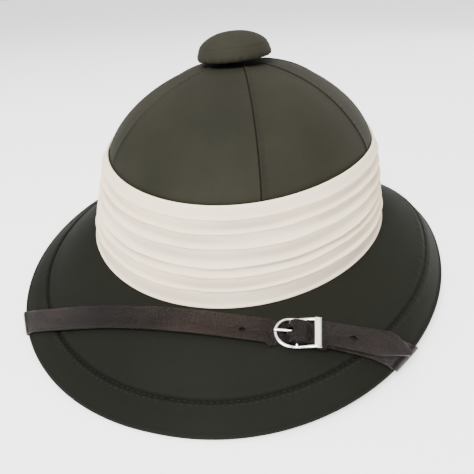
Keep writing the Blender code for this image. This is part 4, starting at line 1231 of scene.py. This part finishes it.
def buckle_seat():
    """The plane just over the brim that the buckle lies on.

    Returns its origin under the centre bar, and unit vectors along and across
    the strap and off the brim.
    """
    middle, along, across = strap_track(1)
    half = BUCKLE_LENGTH / 2 + BUCKLE_WIRE
    centre = middle + along * (BUCKLE_RIGHT - middle[0]) / along[0]
    stations = np.linspace(-half, half, 9)[:, None, None]
    plan = centre + along * stations + across * LINES[::3, None]
    grid = level(plan, brim_face(plan, 1))
    ahead = unit(grid[-1].mean(axis=0) - grid[0].mean(axis=0))
    aside = grid[:, -1].mean(axis=0) - grid[:, 0].mean(axis=0)
    aside = unit(aside - ahead * (ahead @ aside))
    normal = np.cross(ahead, aside)
    origin = grid.reshape(-1, 3).mean(axis=0)
    return origin + normal * ((grid - origin) @ normal).max(), ahead, aside, normal


SEAT = buckle_seat()
LAYER = LEATHER + FIT_GAP
BAR_HEIGHT = FIT_GAP + LAYER + CENTRE_BAR / 2
OVER_FOLD = BAR_HEIGHT + CENTRE_BAR / 2 + 2 * FIT_GAP + max(LEATHER, PRONG)
CURVED_END_HEIGHT = FIT_GAP + LAYER + BUCKLE_WIRE / 2
WIDE_BAR_HEIGHT = FIT_GAP + 3 * LAYER + WIDE_BAR["thickness"] / 2


def seat_points(distance, offset, height):
    """Points at distances along and across the strap and heights over the buckle's seat."""
    origin, ahead, aside, normal = SEAT
    distance, offset, height = np.broadcast_arrays(distance, offset, height)
    return origin + distance[..., None] * ahead + offset[..., None] * aside + height[..., None] * normal


def seat_rows(distance, height, edge_distance=None, squeeze=1.0, crown=0.0):
    """Strap rows over the seat, whose edges may lie further along than their middle.

    Between the buckle's sides the strap is squeezed, which arches it: its offsets
    shrink by the squeeze's share and its middle rises by the crown, as a parabola.
    """
    distance = np.asarray(distance)[:, None]
    edge = distance if edge_distance is None else np.asarray(edge_distance)[:, None]
    share = np.abs(2 * LINES / STRAP_WIDTH)
    lines = LINES * (1.0 - (1.0 - STRAP_SQUEEZED / STRAP_WIDTH) * np.asarray(squeeze))[..., None]
    arched = np.asarray(height)[:, None] + np.asarray(crown)[..., None] * (1.0 - share ** 2)
    return seat_points(distance + (edge - distance) * share ** 1.2, lines, arched)


def strap_widths(travel):
    """Share of the strap's width that is left towards a pointed end, as a clipped line."""
    left = travel[-1] - travel
    tip = TAIL_TIP_WIDTH / STRAP_WIDTH
    share = np.clip(left / TAIL_POINT, 0.0, 1.0)
    corner = 0.02 * bell(share - 1.0, 0.12)
    return tip + (1.0 - tip) * share - corner


def strap_grid(rows, pointed=False):
    """A leather strap whose inner face runs through rows of points.

    Its section is a flat strip whose edges are rounded by a high power, with a
    shallow bell-shaped line beside each, laid out square to the rows. A bell
    curve of the height thins it where it wraps round the brim's edge.
    """
    ahead = np.gradient(rows, axis=0)
    aside = np.gradient(rows, axis=1)
    normal = np.cross(ahead, aside)
    normal = normal.mean(axis=1, keepdims=True) + 0.5 * normal
    normal /= np.linalg.norm(normal, axis=-1, keepdims=True)
    steps = np.linalg.norm(np.diff(rows[:, 3], axis=0), axis=1)
    travel = np.concatenate([[0.0], np.cumsum(steps)])
    widths = strap_widths(travel) if pointed else np.ones(len(rows))
    wraps = rows[:, 3, 0] < -SKIVED_FROM if pointed else np.abs(rows[:, 3, 0]) > SKIVED_FROM
    skived = 1.0 - SKIVED * wraps * bell(rows[:, 3, 2] - EDGE_WRAP_HEIGHT, 1.1 * EDGE_THICKNESS)
    across = np.sin(np.linspace(-1.0, 1.0, 19) * np.pi / 2)
    back = across[1:-1][::-1]
    rounding = np.sqrt(1.0 - np.abs(across) ** LEATHER_EDGE_POWER)
    outer = LEATHER * (0.30 + 0.70 * rounding) - LEATHER_EDGE_LINE * bell(np.abs(across) - 0.86, 0.05)
    inner = LEATHER * 0.12 * np.abs(back) ** LEATHER_EDGE_POWER
    place = np.concatenate([across, back])
    height = np.concatenate([outer, inner])
    line = (place[None, :] * widths[:, None] + 1.0) / 2 * (len(LINES) - 1)
    k = np.minimum(line.astype(int), len(LINES) - 2)
    t = (line - k)[..., None]
    pick = np.arange(len(rows))[:, None]
    face = rows[pick, k] * (1 - t) + rows[pick, k + 1] * t
    out = normal[pick, k] * (1 - t) + normal[pick, k + 1] * t
    return face + out * (height[None, :] * skived[:, None])[..., None]


def punched(mesh, outlines):
    """Cut prisms through a mesh: each an outline in the seat's plane at a distance along it."""
    strap = bpy.data.objects.new("strap_blank", mesh)
    bpy.context.scene.collection.objects.link(strap)
    cutters = []
    for distance, length, width, depth in outlines:
        turn = np.linspace(0.0, 2 * np.pi, 24, endpoint=False)
        shift = max(length - width, 0.0) / 2 * np.sign(np.cos(turn))
        x = distance + width / 2 * np.cos(turn) + shift
        y = width / 2 * np.sin(turn)
        heights = np.array([-depth, depth])[:, None]
        block = sealed(grid_mesh("punch", seat_points(x[None, :], y[None, :], heights)[::-1]))
        punch = bpy.data.objects.new("punch", block)
        bpy.context.scene.collection.objects.link(punch)
        hole = strap.modifiers.new("hole", "BOOLEAN")
        hole.object = punch
        cutters.append(punch)
    bpy.context.view_layer.update()
    graph = bpy.context.evaluated_depsgraph_get()
    made = bpy.data.meshes.new_from_object(strap.evaluated_get(graph))
    for item in [strap] + cutters:
        bpy.data.objects.remove(item)
    return made


def grained_leather():
    """Smooth-finished leather with a fine pebbled grain.

    Cells of two sizes, with edges bent by noise, give the pebbles, whose grooves
    are darker; broad noise varies the dye, and handling makes patches smoother.
    """
    finish = Finish("brown_leather", {"Specular IOR Level": 0.16})
    place = finish.coordinates(3)
    inputs = {"Vector": place, "Scale": LEATHER_NOISE["drift"]}
    drift = finish.node("ShaderNodeTexNoise", inputs=inputs, output=1)
    drift = finish.node("ShaderNodeVectorMath", {"operation": "SCALE"}, {0: drift, "Scale": LEATHER_DRIFT})
    bent = finish.node("ShaderNodeVectorMath", {"operation": "ADD"}, {0: place, 1: drift})
    cells = {"feature": "DISTANCE_TO_EDGE"}
    pebbles, grains = (
        finish.node("ShaderNodeTexVoronoi", cells, {"Vector": bent, "Scale": LEATHER_NOISE[size]})
        for size in ("pebbles", "grains")
    )
    domes = finish.ramp(pebbles, (0.0, 0.0), (0.16, 0.75), (0.45, 1.0))
    fine = finish.ramp(grains, (0.0, 0.0), (0.2, 1.0))
    dye = finish.noise(place, LEATHER_NOISE["dye"], 3.0)
    wear = finish.noise(place, LEATHER_NOISE["wear"])
    shade = domes * 0.55 + fine * 0.15 + (dye - 0.5) * 1.5 - 0.05
    finish.drive("Base Color", finish.mix(shade.clipped(), LEATHER_DARK, LEATHER_LIGHT))
    finish.drive("Roughness", 0.40 - domes * 0.12 + (wear - 0.5) * 0.26)
    finish.bumped(domes * 0.75 + fine * 0.25, LEATHER_RELIEF)
    return finish.material


def long_strap_rows():
    """From the left temple round the edge, over the brim and through the buckle to the tail."""
    half = BUCKLE_LENGTH / 2
    third = FIT_GAP + 2 * LAYER
    hump = smooth_line(STRAP_HUMP, 26)
    up = np.clip(hump[:, 2], 0.0, None)
    height = FIT_GAP + up * (OVER_FOLD - FIT_GAP)
    rise = seat_rows(half * hump[:, 0], height, half * hump[:, 1], crown=up * STRAP_CROWN)
    fall = smooth_line([STRAP_HUMP[-1][1:]] + list(STRAP_FALL), 20)[1:]
    left_up = np.clip(fall[:, 1], 0.0, None)
    down = seat_rows(half * fall[:, 0], third + left_up * (OVER_FOLD - third), crown=left_up * STRAP_CROWN)
    entry = seat_rows([-half - BUCKLE_WIRE], [FIT_GAP], squeeze=0.0)
    leave = seat_rows([half + BUCKLE_WIRE], [third], squeeze=0.0)
    left = wrapped_run(-1)
    over_left = tight_rows(left[-1], entry[0], 1)[1:-1]
    return np.concatenate([left, over_left, entry, rise, down, leave])


def tail_rows(over_brim):
    """The strap's end lies on the short strap's stretch over the brim and lifts off it evenly."""
    normals = np.cross(np.gradient(over_brim, axis=0), np.gradient(over_brim, axis=1))
    normals /= np.linalg.norm(normals, axis=-1, keepdims=True)
    share = np.linspace(0.0, 1.0, len(over_brim))[:, None, None]
    tail = over_brim + normals * (LAYER + TAIL_LIFT * share ** 2)
    step = tail[-1] - tail[-2]
    beyond = np.arange(1, int(TAIL_PAST_EDGE / np.linalg.norm(step[3])) + 1)[:, None, None]
    return np.concatenate([tail[1:], tail[-1] + step * beyond])


def short_strap_rows(over_brim, right):
    """From the fold's end under the bar, round it, over the brim and the edge to the right temple."""
    half = BUCKLE_LENGTH / 2
    fold = CENTRE_BAR / 2 + FIT_GAP
    second = FIT_GAP + LAYER
    turn = np.radians(np.arange(-90.0, 91.0, 15.0))
    under = seat_rows([half * FOLD_END, half * FOLD_END / 2], [BAR_HEIGHT - fold] * 2)
    loop = seat_rows(-fold * np.cos(turn), BAR_HEIGHT + fold * np.sin(turn))
    fall = smooth_line([(d, second + r * (BAR_HEIGHT + fold - second)) for d, r in FOLD_FALL], 8)
    leaf = seat_rows(half * fall[:, 0], fall[:, 1])
    return np.concatenate([under, loop, leaf, over_brim, right[::-1][1:]])


RIGHT_RUN = wrapped_run(1)
BUCKLE_EXIT = seat_rows([BUCKLE_LENGTH / 2 + BUCKLE_WIRE], [FIT_GAP + LAYER], squeeze=0.0)[0]
OVER_BRIM = tight_rows(BUCKLE_EXIT, RIGHT_RUN[-1], 1)
LONG_ROWS = np.concatenate([long_strap_rows(), tail_rows(OVER_BRIM)])
LONG_MESH = sealed(grid_mesh("strap_long_leather", strap_grid(LONG_ROWS, pointed=True)))
PRONG_HOLE_MIDDLE = sum(PRONG_HOLE) / 2
LONG_MESH = punched(LONG_MESH, (
    # distance along the strap, length, width, depth either way
    (PRONG_HOLE_MIDDLE, PRONG_HOLE[1] - PRONG_HOLE[0], HOLE_DIAMETER, 4 * OVER_FOLD),
    (-HOLE_SPACING, HOLE_DIAMETER, HOLE_DIAMETER, BUCKLE_LENGTH),
    (HOLE_SPACING, HOLE_DIAMETER, HOLE_DIAMETER, BUCKLE_LENGTH),
))
LONG_MESH.name = "strap_long_leather"
LEATHER_FINISH = grained_leather()
place_piece(LONG_MESH, LEATHER_FINISH, "brown_leather", "strap_long")
SHORT_MESH = sealed(grid_mesh("strap_short_leather", strap_grid(short_strap_rows(OVER_BRIM, RIGHT_RUN))))
SHORT_MESH = punched(SHORT_MESH, ((0.0, FOLD_SLOT["length"], FOLD_SLOT["width"], OVER_FOLD),))
SHORT_MESH.name = "strap_short_leather"
place_piece(SHORT_MESH, LEATHER_FINISH, "brown_leather", "strap_short")


# The buckle is steel wire bent into a round end, with a wide flat bar soldered
# across its other end. A thinner bar between its sides holds the short strap's
# fold and the prong's hook, and all of it is nickel-plated and polished.

BUCKLE_END_DEPTH = 8.4 * MM
BUCKLE_SIDE_ROOM = 0.6 * MM
RAIL = STRAP_SQUEEZED / 2 + BUCKLE_SIDE_ROOM + BUCKLE_WIRE / 2
CURVED_END = -(BUCKLE_LENGTH - BUCKLE_WIRE) / 2
WIDE_BAR_MIDDLE = (BUCKLE_LENGTH - WIDE_BAR["width"]) / 2
WIDE_BAR_SHORTER = 0.25 * MM
PRONG_TAPER = 0.16
PRONG_DIP = 0.25 * MM
NICKEL_DULL = (0.60, 0.575, 0.54)
NICKEL_BRIGHT = (0.93, 0.915, 0.885)
NICKEL_SCRATCHES = 5200.0
NICKEL_SPOTS = 420.0
NICKEL_RELIEF = 0.03 * MM


def swept(path, widths, heights, up, power=2.0, sides=16):
    """A bar along a path, with its width and height at each point.

    Its section is a superellipse, |x/a|^p + |y/b|^p = 1, laid out square to the
    path: a is half the width, across `up`, and b half the height, towards it.
    """
    along = np.gradient(path, axis=0)
    along /= np.linalg.norm(along, axis=1)[:, None]
    aside = np.cross(np.broadcast_to(up, path.shape), along)
    aside /= np.linalg.norm(aside, axis=1)[:, None]
    rise = np.cross(along, aside)
    turn = np.linspace(0.0, 2 * np.pi, sides, endpoint=False)
    x = np.sign(np.cos(turn)) * np.abs(np.cos(turn)) ** (2.0 / power)
    y = np.sign(np.sin(turn)) * np.abs(np.sin(turn)) ** (2.0 / power)
    wide = np.broadcast_to(widths, len(path))[:, None, None] / 2 * x[:, None] * aside[:, None]
    high = np.broadcast_to(heights, len(path))[:, None, None] / 2 * y[:, None] * rise[:, None]
    return (path[:, None] + wide + high)[:, ::-1]


def rounded_ends(path, width, rows=5):
    """A path lengthened by round ends, and the share of the width at each point.

    The end rows go out with a sine while their width shrinks with the cosine.
    """
    first = unit(path[1] - path[0])
    last = unit(path[-1] - path[-2])
    turn = np.linspace(0.0, np.pi / 2, rows)[:-1, None]
    reach = width / 2 * 0.7
    head = path[0] - first * reach * (1 - np.sin(turn))
    foot = path[-1] + last * reach * np.sin(turn[1:])
    foot = np.concatenate([foot, path[-1:] + last * reach])
    shares = np.concatenate([np.sin(turn[:, 0]), np.ones(len(path)), np.cos(turn[1:, 0]), [0.02]])
    shares[0] = 0.02
    return np.concatenate([head, path, foot]), shares


def frame_path():
    """The buckle's wire: along one side, round the curved end and back along the other.

    The curved end is half an ellipse, and the sides rise from it to the wide bar
    on a smooth curve.
    """
    side = smooth_line([
        (WIDE_BAR_MIDDLE, WIDE_BAR_HEIGHT),
        (WIDE_BAR_MIDDLE / 2, WIDE_BAR_HEIGHT - LEATHER),
        (0.0, BAR_HEIGHT),
        (CURVED_END + BUCKLE_END_DEPTH, CURVED_END_HEIGHT),
    ], 14)
    turn = np.radians(np.arange(-84.0, 85.0, 6.0))
    ahead = CURVED_END + BUCKLE_END_DEPTH * (1 - np.cos(turn))
    front = seat_points(side[:, 0], -RAIL, side[:, 1])
    round_end = seat_points(ahead, RAIL * np.sin(turn), CURVED_END_HEIGHT)
    back = seat_points(side[::-1, 0], RAIL, side[::-1, 1])
    return np.concatenate([front, round_end, back])


def buckle_frame_grids():
    """The wire, the thin bar and the wide bar, each with a superellipse section.

    Bell curves make the wire thicker where the curved end starts and thinner
    towards the back corner.
    """
    path = frame_path()
    share = np.linspace(0.0, 1.0, len(path))
    wire = BUCKLE_WIRE * (1.0 + 0.16 * bell(share - 0.38, 0.16) - 0.14 * bell(share - 0.72, 0.10))
    up = SEAT[3]
    bar, shares = rounded_ends(seat_points(0.0, np.linspace(-RAIL, RAIL, 9), BAR_HEIGHT), CENTRE_BAR)
    reach = RAIL + BUCKLE_WIRE / 2 - WIDE_BAR_SHORTER
    plate = seat_points(WIDE_BAR_MIDDLE, np.linspace(-reach, reach, 13), WIDE_BAR_HEIGHT)
    plate, plate_shares = rounded_ends(plate, WIDE_BAR["thickness"] / 2)
    plate_width = WIDE_BAR["width"] * (0.80 + 0.20 * plate_shares)
    plate_width[[0, -1]] = 0.6 * WIDE_BAR["width"]
    return [
        swept(path, wire * 1.04, wire * 0.94, up, 2.2),
        swept(bar, CENTRE_BAR * shares, CENTRE_BAR * shares, up),
        swept(plate, plate_width, WIDE_BAR["thickness"] * (0.25 + 0.75 * plate_shares), up, 4.0, 28),
    ]


def prong_grid():
    """The prong: a wire from its tip on the curved end to the hook round the bar.

    A smooth curve runs from the tip into most of a circle round the bar, and the
    first third of the wire tapers straight to the tip.
    """
    radius = (CENTRE_BAR + PRONG) / 2 + FIT_GAP
    rest = CURVED_END_HEIGHT + (BUCKLE_WIRE + PRONG) / 2 + FIT_GAP
    turn = np.radians(np.arange(80.0, -136.0, -20.0))
    hook = list(zip(radius * np.cos(turn), BAR_HEIGHT + radius * np.sin(turn)))
    tip = [
        (CURVED_END - BUCKLE_WIRE * 0.45, rest - PRONG_DIP),
        (CURVED_END + BUCKLE_WIRE / 2, rest),
        (PRONG_HOLE[1], BAR_HEIGHT + radius),
    ]
    line = smooth_line(tip + hook, 46)
    path, shares = rounded_ends(seat_points(line[:, 0], 0.0, line[:, 1]), PRONG)
    taper = 1.0 - PRONG_TAPER * (1.0 - np.clip(np.linspace(0.0, 3.0, len(path)), 0.0, 1.0))
    across = SEAT[2]
    return swept(path, PRONG * shares * taper, PRONG * shares * taper, across)


def polished_nickel():
    """Plated and polished metal: fine scratches along it, dull spots and a warm tint in them."""
    finish = Finish("polished_nickel", {"Metallic": 1.0})
    place = finish.coordinates(3)
    drawn_out = finish.stretched(place, (0.15, 1.0, 1.0), np.radians(STRAP_SLANT + STRAP_TURN))
    scratches = finish.noise(drawn_out, NICKEL_SCRATCHES)
    spots = finish.noise(place, NICKEL_SPOTS, 3.0, 0.6)
    wear = (spots - 0.5) * 1.6 + (scratches - 0.5) * 0.5 + 0.62
    finish.drive("Base Color", finish.mix(wear.clipped(), NICKEL_DULL, NICKEL_BRIGHT))
    finish.drive("Roughness", 0.30 - wear.clipped() * 0.12 + (scratches - 0.5) * 0.08)
    finish.bumped(scratches * 0.3 + spots * 0.7, NICKEL_RELIEF)
    return finish.material


NICKEL = polished_nickel()
place_piece(sealed(grid_mesh("buckle_wire", *buckle_frame_grids())), NICKEL, "nickel", "buckle_frame")
place_piece(sealed(grid_mesh("buckle_tongue", prong_grid())), NICKEL, "nickel", "buckle_prong")
